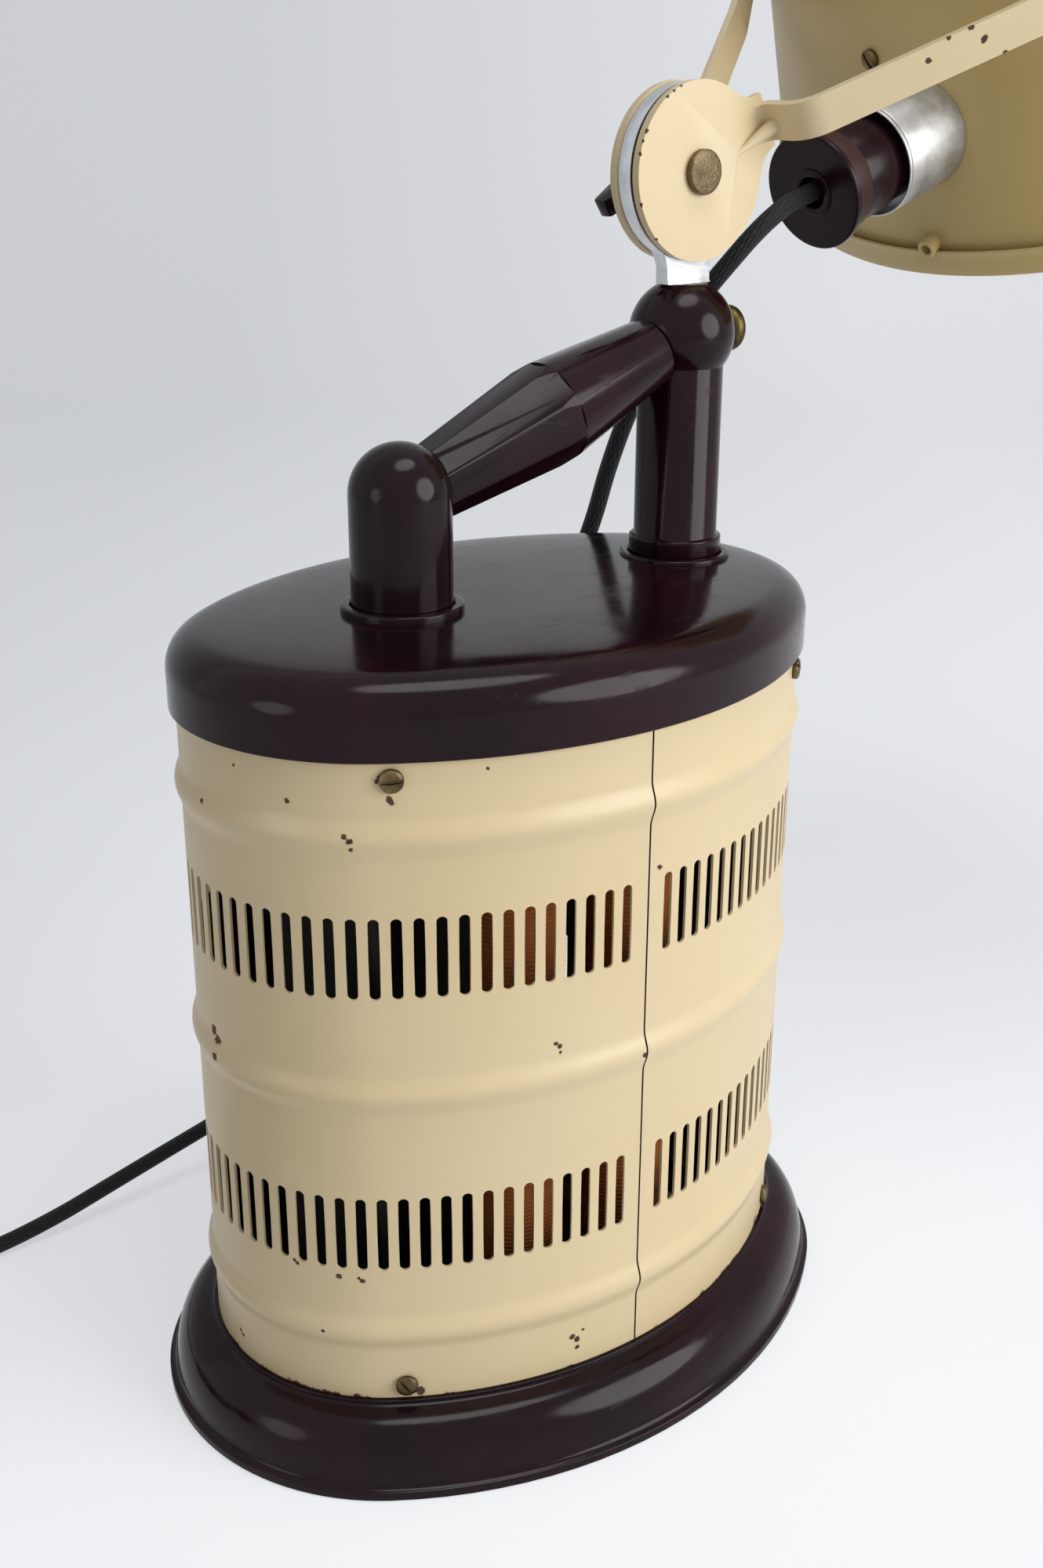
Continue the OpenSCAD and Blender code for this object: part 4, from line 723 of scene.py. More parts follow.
def half_shell():
    """The -X half of the shell: a strip with its beads, spun round the oval from seam to seam."""
    half_bead = (0, 1.3, 2.7, 4, 5.3, 6.7, 8)
    across_bead = [-i for i in half_bead[:0:-1]] + list(half_bead)
    levels = [SHELL_Z0] + [c + i for c in BEADS for i in across_bead] + [SHELL_Z1]
    seam = math.degrees(math.asin(SEAM_X / SIDE_R))
    gap = math.degrees(HALF_GAP / SIDE_R)
    start = 90 - seam + gap
    piece = drawn_line("shell_half", [side_spot(start, bead(z), z) for z in levels])
    bpy.ops.mesh.select_all(action="SELECT")
    inward = Vector(side_spot(start, -1, 0)) - Vector(side_spot(start, 0, 0))
    pull(inward)
    choose(piece, "FACE", lambda face: True)
    for centre, angle, steps in (((0, -SIDE_C), 180 - CORNER - start, 18), ((-END_C, 0), 2 * CORNER, 30),
                                 ((0, SIDE_C), 90 - seam - gap - CORNER, 16)):
        bpy.ops.mesh.spin(steps=steps, angle=-math.radians(angle), center=mm(*centre, 0), axis=(0, 0, 1))
    return close_up(piece)


def vent_slots():
    """All vent slots of one half shell as one cutter: a round-ended bar, copied along two rows."""
    half_len = (SLOT_LONG - SLOT_WIDE) / 2
    bar = begin("slot_bar", "circle", vertices=20, radius=SLOT_WIDE / 2 * MM, fill_type="NGON",
                rotation=(0, math.pi / 2, 0))
    settle()
    bpy.ops.object.mode_set(mode="EDIT")
    for sign in (1, -1):
        choose(bar, "VERT", lambda v, s=sign: v.co.z * s > 0.00001)
        bpy.ops.transform.translate(value=(0, 0, sign * half_len * MM))
    bpy.ops.mesh.select_all(action="SELECT")
    bpy.ops.transform.translate(value=mm(-5, 0, 0))
    pull(mm(10, 0, 0))
    close_up(bar)
    end_arc = END_R * math.radians(CORNER)
    side_arc = SIDE_R * math.radians(180 - 2 * CORNER)
    half_round = 2 * end_arc + side_arc
    seam_at = end_arc + side_arc / 2 - SEAM_X
    bars = []
    for i in range(SLOT_COUNT):
        s = seam_at + half_round / 2 + SLOT_PITCH * (i - (SLOT_COUNT - 1) / 2)
        flip = s >= half_round + end_arc
        s = s - half_round if flip else s
        if s < end_arc:
            centre, angle, r = (END_C, 0), s / END_R, END_R
        elif s < end_arc + side_arc:
            centre, angle, r = (0, -SIDE_C), math.radians(CORNER) + (s - end_arc) / SIDE_R, SIDE_R
        else:
            angle = math.radians(180 - CORNER) + (s - end_arc - side_arc) / END_R
            centre, r = (-END_C, 0), END_R
        for z in SLOT_ROWS:
            twin = bar.copy()
            twin.data = bar.data.copy()
            scene.collection.objects.link(twin)
            place = at(*centre, z) @ Matrix.Rotation(angle, 4, "Z") @ at(r, 0, 0)
            twin.matrix_world = turn(180, "Z") @ place if flip else place
            bars.append(twin)
    bpy.data.objects.remove(bar, do_unlink=True)
    return joined(bars)


def round_tool(radius, length, place, name="drill"):
    """A round cutter along Z of a place."""
    tool = begin(name, "cylinder", vertices=40, radius=radius * MM, depth=length * MM)
    tool.matrix_world = place
    settle(tool)
    return tool


def on_side(angle, z, flip=False):
    """A place on a side arc of the shell with Z along the outward normal."""
    place = at(0, -SIDE_C, 0) @ turn(angle, "Z") @ at(SIDE_R, 0, z) @ turn(90, "Y")
    return turn(180, "Z") @ place if flip else place


AT_LEAD_BUSH = on_side(59, 221)
AT_MAINS_GLAND = on_side(80, 38)


def shells():
    """The two slotted half shells, enamelled outside, with near-black painted shade inside and on their seam
    edges.
    """
    left = half_shell()
    cut(left, vent_slots())
    right = left.copy()
    right.data = left.data.copy()
    right.name = "shell_right_sheet"
    scene.collection.objects.link(right)
    only(right)
    right.matrix_world = turn(180, "Z")
    settle()
    cut(right, round_tool(5.1, 12, AT_LEAD_BUSH))
    cut(right, round_tool(4.9, 12, AT_MAINS_GLAND))
    left.name = "shell_left_sheet"
    for piece, node in ((left, "shell_left"), (right, "shell_right")):
        soften(piece, 0.28, 2, 50)
        put(piece, HERE, "housing", "cream_enamel", [node], shell_paint, crease=20)
        piece.data.materials.append(painted_shade_inside)
        # Inner faces and seam edges get the near-black painted shade.
        for face in piece.data.polygons:
            x, z = face.center.x / MM, face.center.z / MM
            outward = face.center - Vector((max(-END_C, min(END_C, x)), 0, z)) * MM
            inward = face.normal.dot(outward) < -0.3 * outward.length
            in_seam = abs(abs(x) - SEAM_X) < 1.5 and abs(face.normal.x) > 0.6
            if inward or in_seam:
                face.material_index = 1


def foot():
    """Foot: step under the shell, round swell, thin edge; hollow inside as the real moulding is."""
    profile = [(-6.3, 41), (-1.6, 41), (-1.3, 40.6), (-1.3, 27.5), (1.3, 27.5)]
    profile += bend(1.3, 27.0, 0.5, 90, 0, 3)
    profile += [(1.8, 26.4), (2.3, 25.9), (3.3, 25.6)]
    swell = [math.radians(a) for a in range(84, 9, -6)]
    profile += [(4.0 + 12.6 * math.cos(a), 5.1 + 20.1 * math.sin(a)) for a in swell]
    profile += [(16.7, 6.6), (16.9, 5.2), (17.6, 4.1), (18.6, 3.6)]
    profile += bend(18.9, 2.9, 0.6, 70, 0, 3)
    profile += [(19.5, 0.5), (19.0, 0), (-6, 0), (-6, 4.5), (-16, 4.5), (-16, 9.5), (-6.3, 14.5)]
    piece = swept_oval("foot_moulding", profile, 34, 24)
    put(piece, HERE, "housing", "bakelite", ["foot"], crease=40)


def lid():
    """Lid: a generous shoulder rising to a faintly domed top, with its two raised seats."""
    profile = [(-65.9, 289), (-54, 288.98), (-42, 288.88), (-32, 288.68), (-24, 288.42), (-17, 288.1)]
    profile += [(-12, 287.75)] + bend(-10.6, 274.5, 13, 84, 0, 14)
    profile += [(2.4, 262.3), (2.1, 262), (0.3, 262), (0.3, 265.3), (-1.3, 265.3)]
    profile += [(-1.3, 246), (-6.3, 246), (-6.3, 276), (-15, 282.3), (-24, 283), (-42, 284), (-65.9, 284)]
    piece = swept_oval("lid_moulding", profile, 34, 24, closed=False)
    r = POST_R
    for x, ring, high in ((POST_FRONT_X, r + 3.6, 291.4), (POST_REAR_X, r + 3.3, 290.2)):
        rim = [(0, 286), (ring, 286), (ring, high - 0.8)] + bend(ring - 0.8, high - 0.8, 0.8, 0, 90, 4)
        rim += [(r + 0.9, high), (r + 0.3, high - 0.5), (r + 0.1, high - 1), (r + 0.1, 287.6), (0, 287.6)]
        seat = turned("lid_seat", rim, 72)
        put(seat, at(x, 0, 0), "housing", "bakelite")
    put(piece, HERE, "housing", "bakelite", ["lid"], crease=40)


# Handle
def sphere_tool(radius, place):
    """A ball-shaped cutter at a place."""
    tool = begin("ball_cutter", "uv_sphere", segments=72, ring_count=36, radius=radius * MM)
    tool.matrix_world = place
    settle(tool)
    return tool


def grip_cone(extra=0.0):
    """The grip's rear half: a plain cone from the middle of the grip to the ball."""
    run = GRIP_AXIS - 16.8 - GRIP_CREASE
    cone = begin("grip_cone", "cone", vertices=96, radius1=(GRIP_R + extra) * MM, radius2=(12 + extra) * MM,
                 depth=(run + extra) * MM)
    cone.matrix_world = AT_GRIP @ at(0, 0, GRIP_CREASE + (run + extra) / 2)
    settle(cone)
    return cone


def posts():
    """Front post with its round top; rear post with its collar, scooped out for ball and grip."""
    r = POST_R
    profile = [(0, 287.6), (r, 287.6), (r, 300), (r, POST_Z - 4)] + bend(0, POST_Z, r, 0, 90, 20)
    front = turned("post_front_moulding", profile, 72)
    put(front, at(POST_FRONT_X, 0, 0), "housing", "bakelite", ["post_front"])
    profile = [(0, 287.6), (r, 287.6), (r, 295.4)] + bend(r - 0.7, 295.8, 0.7, 0, 90, 3)
    profile += [(15.6, 296.6), (15.3, 297.2), (15.3, 363.4), (0, 363.4)]
    rear = turned("post_rear_moulding", profile, 72)
    rear.matrix_world = at(POST_REAR_X, 0, 0)
    settle(rear)
    cut(rear, sphere_tool(BALL_R + FIT, AT_BALL))
    cut(rear, grip_cone(0.08))
    soften(rear, 0.35, 2, 40)
    put(rear, HERE, "housing", "bakelite", ["post_rear"])


def grip():
    """Grip: eight flats run from the front post to the thickest place, a plain cone goes on to the ball."""
    bar = begin("grip_moulding", "cylinder", vertices=96, radius=GRIP_R * MM, depth=80 * MM,
                location=mm(0, 0, 38))
    settle()
    slope = math.atan((GRIP_R - 0.6 - 10.5) / GRIP_CREASE)
    bpy.ops.object.mode_set(mode="EDIT")
    for i in range(8):
        a = math.radians(45 * i)
        lean = Vector((math.cos(slope), 0, -math.sin(slope)))
        lean.rotate(Matrix.Rotation(a, 3, "Z"))
        bpy.ops.mesh.select_all(action="SELECT")
        bpy.ops.mesh.bisect(plane_co=mm(10.5 * math.cos(a), 10.5 * math.sin(a), 0), plane_no=lean,
                            use_fill=True, clear_outer=True)
    bpy.ops.mesh.select_all(action="SELECT")
    bpy.ops.mesh.dissolve_limited(angle_limit=math.radians(0.5))
    bpy.ops.object.mode_set(mode="OBJECT")
    soften(bar, 0.9, 3, 12)
    bpy.ops.object.mode_set(mode="EDIT")
    bpy.ops.mesh.select_all(action="SELECT")
    bpy.ops.mesh.bisect(plane_co=mm(0, 0, GRIP_CREASE + 0.01), plane_no=(0, 0, 1), use_fill=True,
                        clear_outer=True)
    bpy.ops.object.mode_set(mode="OBJECT")
    bar.matrix_world = AT_GRIP
    settle(bar)
    cut(bar, grip_cone(), "UNION")
    cut(bar, sphere_tool(17.08, at(POST_FRONT_X, 0, POST_Z)))
    cut(bar, round_tool(17.08, 30, at(POST_FRONT_X, 0, POST_Z - 15)))
    cut(bar, sphere_tool(BALL_R + FIT, AT_BALL))
    soften(bar, 0.22, 2, 35)
    put(bar, HERE, "housing", "bakelite", ["handle_grip"], crease=25)


def ball_joint():
    """Ball with its flat top, and the knurled screw that clamps the swivel."""
    ball = begin("ball_moulding", "uv_sphere", segments=96, ring_count=48, radius=BALL_R * MM)
    bpy.ops.object.mode_set(mode="EDIT")
    bpy.ops.mesh.select_all(action="SELECT")
    bpy.ops.mesh.bisect(plane_co=mm(0, 0, 17), plane_no=(0, 0, 1), use_fill=True, clear_outer=True)
    close_up(ball)
    cut(ball, round_tool(3.85, 10, at(0, 0, 17)))
    soften(ball, 0.5, 3, 25)
    put(ball, AT_BALL, "housing", "bakelite", ["ball"])

    head = [(0, 0.6), (3, 0.6), (3, 19.3), (5, 19.3), (5, 20.3), (7.1, 20.5), (7.9, 21.2), (8.2, 22.0),
            (8.2, 24.0), (7.9, 24.7), (7.2, 25.2), (5.8, 25.7), (3.5, 26.05), (0, 26.15)]
    screw = turned("swivel_thumbscrew", [(r, z + 6.1 if r <= 3 and z < 1 else z) for r, z in head], 120)
    only(screw)
    bpy.ops.object.mode_set(mode="EDIT")

    def in_a_groove(face):
        x, y, z = face.calc_center_median()
        on_rim = 22.0 * MM < z < 24.0 * MM and math.hypot(x, y) > 8 * MM
        return on_rim and round(math.degrees(math.atan2(y, x)) / 3 - 0.5) % 2

    choose(screw, "FACE", in_a_groove)
    bpy.ops.mesh.inset(thickness=0.00008, depth=-0.0003, use_individual=False)
    bpy.ops.object.mode_set(mode="OBJECT")
    put(screw, AT_BALL @ turn(90, "Y"), "swivel_clamp", "aged_brass", ["swivel_screw"], olive_brass)


# Neck and fork
TAB_Y0, TAB_Y1 = -2.4, 3.4
NECK_HALF, NECK_FOOT = 10.2, -37.1


def neck():
    """Neck: spigot, tab between the discs, and a thicker foot whose near face was turned away in an arc."""
    tab = begin("neck_casting", "cylinder", vertices=128, radius=29.2 * MM, depth=(TAB_Y1 - TAB_Y0) * MM,
                rotation=(math.pi / 2, 0, 0), location=mm(0, (TAB_Y0 + TAB_Y1) / 2, 0))
    settle()
    half = [(NECK_HALF, NECK_FOOT), (NECK_HALF, -32.2), (10.5, -30.4), (11.3, -28.6), (12.2, -27)]
    half += [(13.2, -25.6), (12, -20)]
    throat = half + [(-x, z) for x, z in half[::-1]]
    cut(tab, plate("neck_throat", throat, TAB_Y0 + 0.01, TAB_Y1 - 0.01), "UNION")
    hollow = [(40 - 0.7 * i, 2.4 + 1.15 * (0.7 * i / 6.6) ** 2) for i in range(1, 10)]
    profile = [(0, -3.38), (40, -3.38), (40, 2.38)] + hollow + [(33, 3.55), (0, 3.55)]
    flare = turned("neck_flare", profile, 256)
    flare.matrix_world = at(0, 0, -70.6) @ turn(90, "X")
    settle(flare)
    foot_outline = [(NECK_HALF, NECK_FOOT), (NECK_HALF, -24), (-NECK_HALF, -24), (-NECK_HALF, NECK_FOOT)]
    block = plate("neck_foot", foot_outline, -3.6, TAB_Y1 - 0.02)
    cut(tab, cut(block, flare, "INTERSECT"), "UNION")
    soften(tab, 0.35, 3, 40)
    spigot = begin("neck_spigot", "cylinder", vertices=48, radius=3.8 * MM, depth=29 * MM,
                   location=mm(0, 0, -51.5))
    settle()
    soften(spigot, 0.6, 2, 40)
    put(joined([tab, spigot]), AT_JOINT, "neck", "bright_aluminium", ["neck_tab"], cast_aluminium)


def arm(name, node, side):
    """A stamped arm: disc with its ears, steep bend, slanting run and round end; drawn on the far side."""
    mid = (DISC_Y0 + DISC_Y1) / 2
    body = begin(name, "cylinder", vertices=128, radius=DISC_R * MM, depth=ARM_T * MM,
                 rotation=(math.pi / 2, 0, 0), location=mm(0, mid, 0))
    settle()
    ears = [(20, 17.3), (24, 17.3), (25.8, 14.9), (27.5, 13), (28.8, 11.9), (30.1, 11), (31.6, 10.4)]
    ears += [(33, 10), (36.2, 9.6)]
    outline = ears + [(x, -z) for x, z in ears[::-1]]
    cut(body, plate("arm_ears", outline, DISC_Y0 + 0.01, DISC_Y1 - 0.01), "UNION")
    # The strip's end face goes through the steep bend, the step, the return bend, the run and two more bends.
    place, heading = Vector((20, mid)), 0.0
    strip = begin("arm_strip", "plane", size=1, rotation=(0, math.pi / 2, 0), location=mm(place.x, mid, 0))
    settle()
    bpy.ops.object.mode_set(mode="EDIT")
    bpy.ops.mesh.select_all(action="SELECT")
    bpy.ops.transform.resize(value=(1, (ARM_T - 0.02) * MM, ARM_W * MM), center_override=mm(place.x, mid, 0))
    for part in (10.2, (93, 5.2, 8), 7, (-61, 13, 8), 80, (5, 150, 4), None, (-37, 40, 6)):
        if isinstance(part, tuple):
            angle, radius, steps = part
            sign = 1 if angle > 0 else -1
            a0, a1 = math.radians(heading), math.radians(heading + angle)
            centre = place + sign * radius * Vector((-math.sin(a0), math.cos(a0)))
            bpy.ops.mesh.spin(steps=steps, angle=-math.radians(angle), center=mm(centre.x, centre.y, 0),
                              axis=(0, 0, 1))
            place = centre - sign * radius * Vector((-math.sin(a1), math.cos(a1)))
            heading += angle
        else:
            a = math.radians(heading)
            run = part or (ARM_END_Y - 40 * (1 - math.cos(a)) - place.y) / math.sin(a)
            step = run * Vector((math.cos(a), math.sin(a)))
            pull(mm(step.x, step.y, 0))
            place += step
    pull(mm(FORK_LEN - place.x, 0, 0))
    close_up(strip)
    cut(body, strip, "UNION")
    eye = begin("arm_eye", "cylinder", vertices=48, radius=11 * MM, depth=(ARM_T + 0.02) * MM,
                rotation=(math.pi / 2, 0, 0), location=mm(FORK_LEN, ARM_END_Y, 0))
    settle()
    cut(body, eye, "UNION")
    # The dart that stiffens the bend: a slim cone let into the disc and the steep wall.
    foot_at, head_at = Vector((17, DISC_Y1 - 0.9, -3.5)), Vector((36.2, DISC_Y1 + 4.6, -1))
    run = head_at - foot_at
    dart = begin("arm_dart", "cone", vertices=32, radius1=0.6 * MM, radius2=3.0 * MM, depth=run.length * MM)
    dart.matrix_world = (Matrix.Translation((foot_at + head_at) / 2 * MM)
                         @ run.to_track_quat("Z", "Y").to_matrix().to_4x4())
    settle(dart)
    cut(body, dart, "UNION")
    soften(body, 0.55, 3, 30)
    if side < 0:
        only(body)
        body.scale = (1, -1, 1)
        settle()
        bpy.ops.object.mode_set(mode="EDIT")
        close_up(body)
    put(body, IN_FORK, "fork", "cream_enamel", [node], arm_paint, crease=38)


def domed(name, r, h, edge, shank_r, shank_len, steps=48):
    """A flat-domed head with its shank; its seat is at z = 0."""
    profile = [(0, -shank_len), (shank_r, -shank_len), (shank_r, 0), (r - 0.2, 0), (r, 0.25), (r, edge)]
    profile += bend(r - 0.7, edge, 0.7, 15, 75, 4)
    profile += [(r * k, edge + 0.7 + (h - edge - 0.7) * (1 - k * k)) for k in (0.8, 0.6, 0.4, 0.2, 0)]
    return turned(name, profile, steps)


def slotted(name, r, h, shank_r, shank_len):
    """A round-headed screw with a filed slot."""
    piece = domed(name, r, h, 0.45 * h, shank_r, shank_len, 40)
    slot = begin("slot_file", "cube", size=1)
    slot.matrix_world = at(0, 0, 0.5 * h + 2) @ Matrix.Diagonal(mm(3 * r, 1.15, 4) + (1,))
    settle(slot)
    cut(piece, slot)
    return soften(piece, 0.18, 2, 40)


def copies(piece, places, name):
    """Copies of one piece at several places, joined; the first model is used up."""
    twins = []
    for place in places:
        twin = piece.copy()
        twin.data = piece.data.copy()
        scene.collection.objects.link(twin)
        only(twin)
        twin.matrix_world = place
        settle()
        twins.append(twin)
    bpy.data.objects.remove(piece, do_unlink=True)
    whole = joined(twins)
    whole.name = name
    return whole


def screws():
    """Slotted screws of the shell and of the reflector, the joint's bolt and the bell's pivots."""
    places = []
    slot_turns = iter((20, 75, 140, 10, 35, 95, 160, 55))
    for flip in (False, True):
        for angle in (SCREW_ANGLE, 180 - SCREW_ANGLE):
            for z in SCREW_ROWS:
                places.append(on_side(angle, z, flip) @ at(0, 0, 0.08) @ turn(next(slot_turns), "Z"))
    put(copies(slotted("screw", 3.85, 2.4, 2, 7), places, "shell_screw_set"), HERE, "housing", "aged_brass",
        ["shell_screws"])
    h, first, slope = 81, 180 - 7.4, 90 - DRAFT
    places = [AT_BELL @ turn(first + a, "Z") @ at(wall_r(h), 0, h) @ turn(slope, "Y") @ at(0, 0, 0.15)
              @ turn(35 + a / 3, "Z") for a in (0, 120, 240)]
    put(copies(slotted("screw", 4, 2.5, 2, 11), places, "reflector_screw_set"), HERE, "head", "aged_brass",
        ["reflector_screws"])
    bolt = domed("joint_bolt_round", 7.5, 3, 1.9, 4, 2 * DISC_Y1 + 11)
    at_bolt = AT_JOINT @ at(0, -DISC_Y1 - 0.05, 0) @ turn(90, "X")
    put(bolt, at_bolt, "fork", "aged_brass", ["joint_bolt"], pebbled_bronze)
    out = ARM_END_Y + ARM_T / 2 + 0.05
    places = [IN_FORK @ at(FORK_LEN, s * out, 0) @ turn(-90 * s, "X") for s in (1, -1)]
    pivots = copies(domed("pivot", 7.5, 3, 1.9, 3, ARM_T + 10), places, "pivot_screw_set")
    put(pivots, HERE, "fork", "aged_brass", ["pivot_screws"], pebbled_bronze)


# Bell
BOSS_Y = wall_r(PIVOT_H) + 3
ARM_END_Y = BOSS_Y + 1 + ARM_T / 2


def bell_line(off, low, fine=3):
    """The bell's outer line, set in by a distance: cone, shoulder and crown run into each other."""
    c, s = math.cos(math.radians(DRAFT)), math.sin(math.radians(DRAFT))
    sx, sz = MOUTH_R - DRAFT_TAN * 118 - 50 * c, 118 - 50 * s
    crown_r = 50 + sx / math.cos(math.radians(75))
    crown_z = sz - sx * math.tan(math.radians(75))
    line = [(wall_r(h) - off / c, h) for h in (low, 30, 60, 90)]
    line += bend(sx, sz, 50 - off, DRAFT, 75, 6 * fine)
    return line + bend(0, crown_z, crown_r - off, 75, 90, 4 * fine)[1:]


def bell():
    """Spun bell with its pivot bosses, folded rim band, eyelet and bright reflector."""
    outer, inner = bell_line(0, 1.5), bell_line(1.2, 1.5)
    shade = turned("bell_spinning", outer + inner[::-1] + [outer[0]], 128)
    for side in (1, -1):
        boss = begin("pivot_boss", "cylinder", vertices=64, radius=11 * MM, depth=16 * MM,
                     rotation=(math.pi / 2, 0, 0), location=mm(0, side * (BOSS_Y - 8), PIVOT_H))
        settle()
        hollow = turned("bell_hollow", [(0, 0)] + [(wall_r(h) - 0.6, h) for h in (0, 118)] + [(0, 118)], 128)
        cut(boss, hollow)
        cut(shade, boss, "UNION")
    cut(shade, round_tool(21.3, 30, at(-wall_r(HOLDER_H), 0, HOLDER_H) @ turn(90 + DRAFT, "Y")))
    cut(shade, round_tool(2.0, 12, at(-MOUTH_R + 2, 0, 12) @ turn(90, "Y")))
    soften(shade, 0.3, 2, 40)
    put(shade, AT_BELL, "head", "enamelled_aluminium", ["shade"], crease=40)

    foot_r = wall_r(0.5) - 8 / math.cos(math.radians(DRAFT))
    band = [(MOUTH_R - 0.2, 9.5), (MOUTH_R - 0.2, 0.3), (foot_r - 2.4, 0.3), (foot_r - 2.4, -0.8)]
    band += [(MOUTH_R - 0.6, -1)] + bend(MOUTH_R - 0.2, 0.2, 1.2, -80, 0, 4)
    band += [(MOUTH_R + 0.75, 5), (MOUTH_R + 0.5, 9.4)]
    band += bend(MOUTH_R + 0.1, 9.8, 0.6, 10, 130, 4)
    ring = turned("rim_band", band + [band[0]], 128)
    cut(ring, round_tool(4.1, 20, at(-MOUTH_R, 0, 12) @ turn(90, "Y")))
    soften(ring, 0.25, 2, 45)
    # The rim band and the eyelet take the bell's darker enamel, which is painted shade.
    put(ring, AT_BELL, "head", "cream_enamel", ["rim_ring"], shaded_bell_paint)

    lip = [(2, 8), (2, 0.5)] + bend(3, 0.9, 1.0, 180, 360, 8) + [(4, 8), (2, 8)]
    at_eyelet = AT_BELL @ at(-MOUTH_R - 2.2, 0, 12) @ turn(90, "Y")
    put(turned("rim_eyelet", lip, 40), at_eyelet, "head", "cream_enamel", ["eyelet"], shaded_bell_paint)

    bright, back = bell_line(8, 0.4, 2), bell_line(8.8, 0.4, 2)
    mirror = turned("bright_reflector", bright + back[::-1] + [bright[0]], 96)
    cut(mirror, round_tool(22, 50, at(-wall_r(HOLDER_H), 0, HOLDER_H) @ turn(90 + DRAFT, "Y")))
    put(mirror, AT_BELL, "head", "bright_aluminium", ["reflector"])


# Lamp holder
HOLDER_OUT = -62.8
SLEEVE_Z0 = HOLDER_OUT + 30.9


def holder():
    """Holder, drawn along its axis: thin cap with the lead's hole, ring, body and open aluminium sleeve."""
    out = HOLDER_OUT
    cap = [(5.9, out + 2.2), (5.9, out - 0.4)] + bend(6.4, out - 0.4, 0.45, 190, 270, 3)
    cap += bend(8.3, out - 0.3, 0.5, 270, 350, 4) + [(8.8, out), (14, out - 0.05), (20.8, out)]
    cap += bend(20.8, out + 0.8, 0.8, 275, 360, 5) + [(21.6, out + 2.1), (21.5, out + 2.2), (5.9, out + 2.2)]
    put(turned("holder_cap_turned", cap, 96), AT_HOLDER, "head", "bakelite", ["holder_cap"], holder_bakelite)
    z0, z1 = out + 2.3, out + 12.1
    ring = [(16, z0), (18.7, z0)] + bend(18.7, z0 + 0.6, 0.6, 270, 360, 4)
    ring += bend(18.5, z1 - 0.5, 0.5, 0, 90, 3) + [(16, z1), (16, z0)]
    put(turned("holder_ring_turned", ring, 96), AT_HOLDER, "head", "bakelite", ["holder_ring"], dull_bakelite)
    body = [(5.9, z0), (15.9, z0), (15.9, z1 + 0.1), (17.7, z1 + 0.1)]
    body += bend(17.7, z1 + 0.6, 0.5, 280, 360, 3) + bend(17.7, SLEEVE_Z0 - 3.6, 0.5, 0, 70, 3)
    body += [(17.2, SLEEVE_Z0 - 2.6), (17.2, 3.8)]
    body += [(14.5, 3.8), (14.5, -45), (5.9, -45), (5.9, z0)]
    put(turned("holder_body_turned", body, 96), AT_HOLDER, "head", "bakelite", ["holder_body"],
        holder_bakelite)
    lip = SLEEVE_Z0
    sleeve = [(17.3, lip + 8), (20.2, lip + 8), (20.2, lip + 0.5)] + bend(20.7, lip + 0.5, 0.5, 180, 360, 8)
    sleeve += [(21.2, lip + 1.4), (21.0, lip + 1.9), (21.15, lip + 2.6), (21.2, 4.4), (22, 4.4)]
    sleeve += [(22, 5.4), (17.3, 5.4)]
    put(turned("holder_sleeve", sleeve + sleeve[:1], 128), AT_HOLDER, "head", "bright_aluminium",
        ["holder_collar"], dull_aluminium)


# Ballast
def windings():
    """Fine resistance wire on the four ceramic tubes: one unbroken helix each."""
    turns, per_turn, sides, r, path_r = 108, 18, 5, 0.75, 16.0
    z0, z1 = 44, 224
    steps = turns * per_turn
    line = []
    for i in range(steps + 1):
        a = 2 * math.pi * i / per_turn
        line.append(Vector(mm(path_r * math.cos(a), path_r * math.sin(a), z0 + (z1 - z0) * i / steps)))
    wire = cord_tube("wire", line, 2 * r * MM, sides)
    places = [at(x, y, 0) for x in (-28, 23) for y in (-42, 42)]
    put(copies(wire, places, "wire_windings"), HERE, "housing", "resistance_wire", ["ballast_windings"])


def shade_board():
    """A dark board between the two pairs of tubes, seen only through the slots: a sheet of painted shade."""
    outline = [(-96, 4.6), (17, 4.6), (17, 214), (14, 217), (-93, 217), (-96, 214)]
    put(plate("shade_board", outline, -0.8, 0.8), HERE, "housing", "fibre")


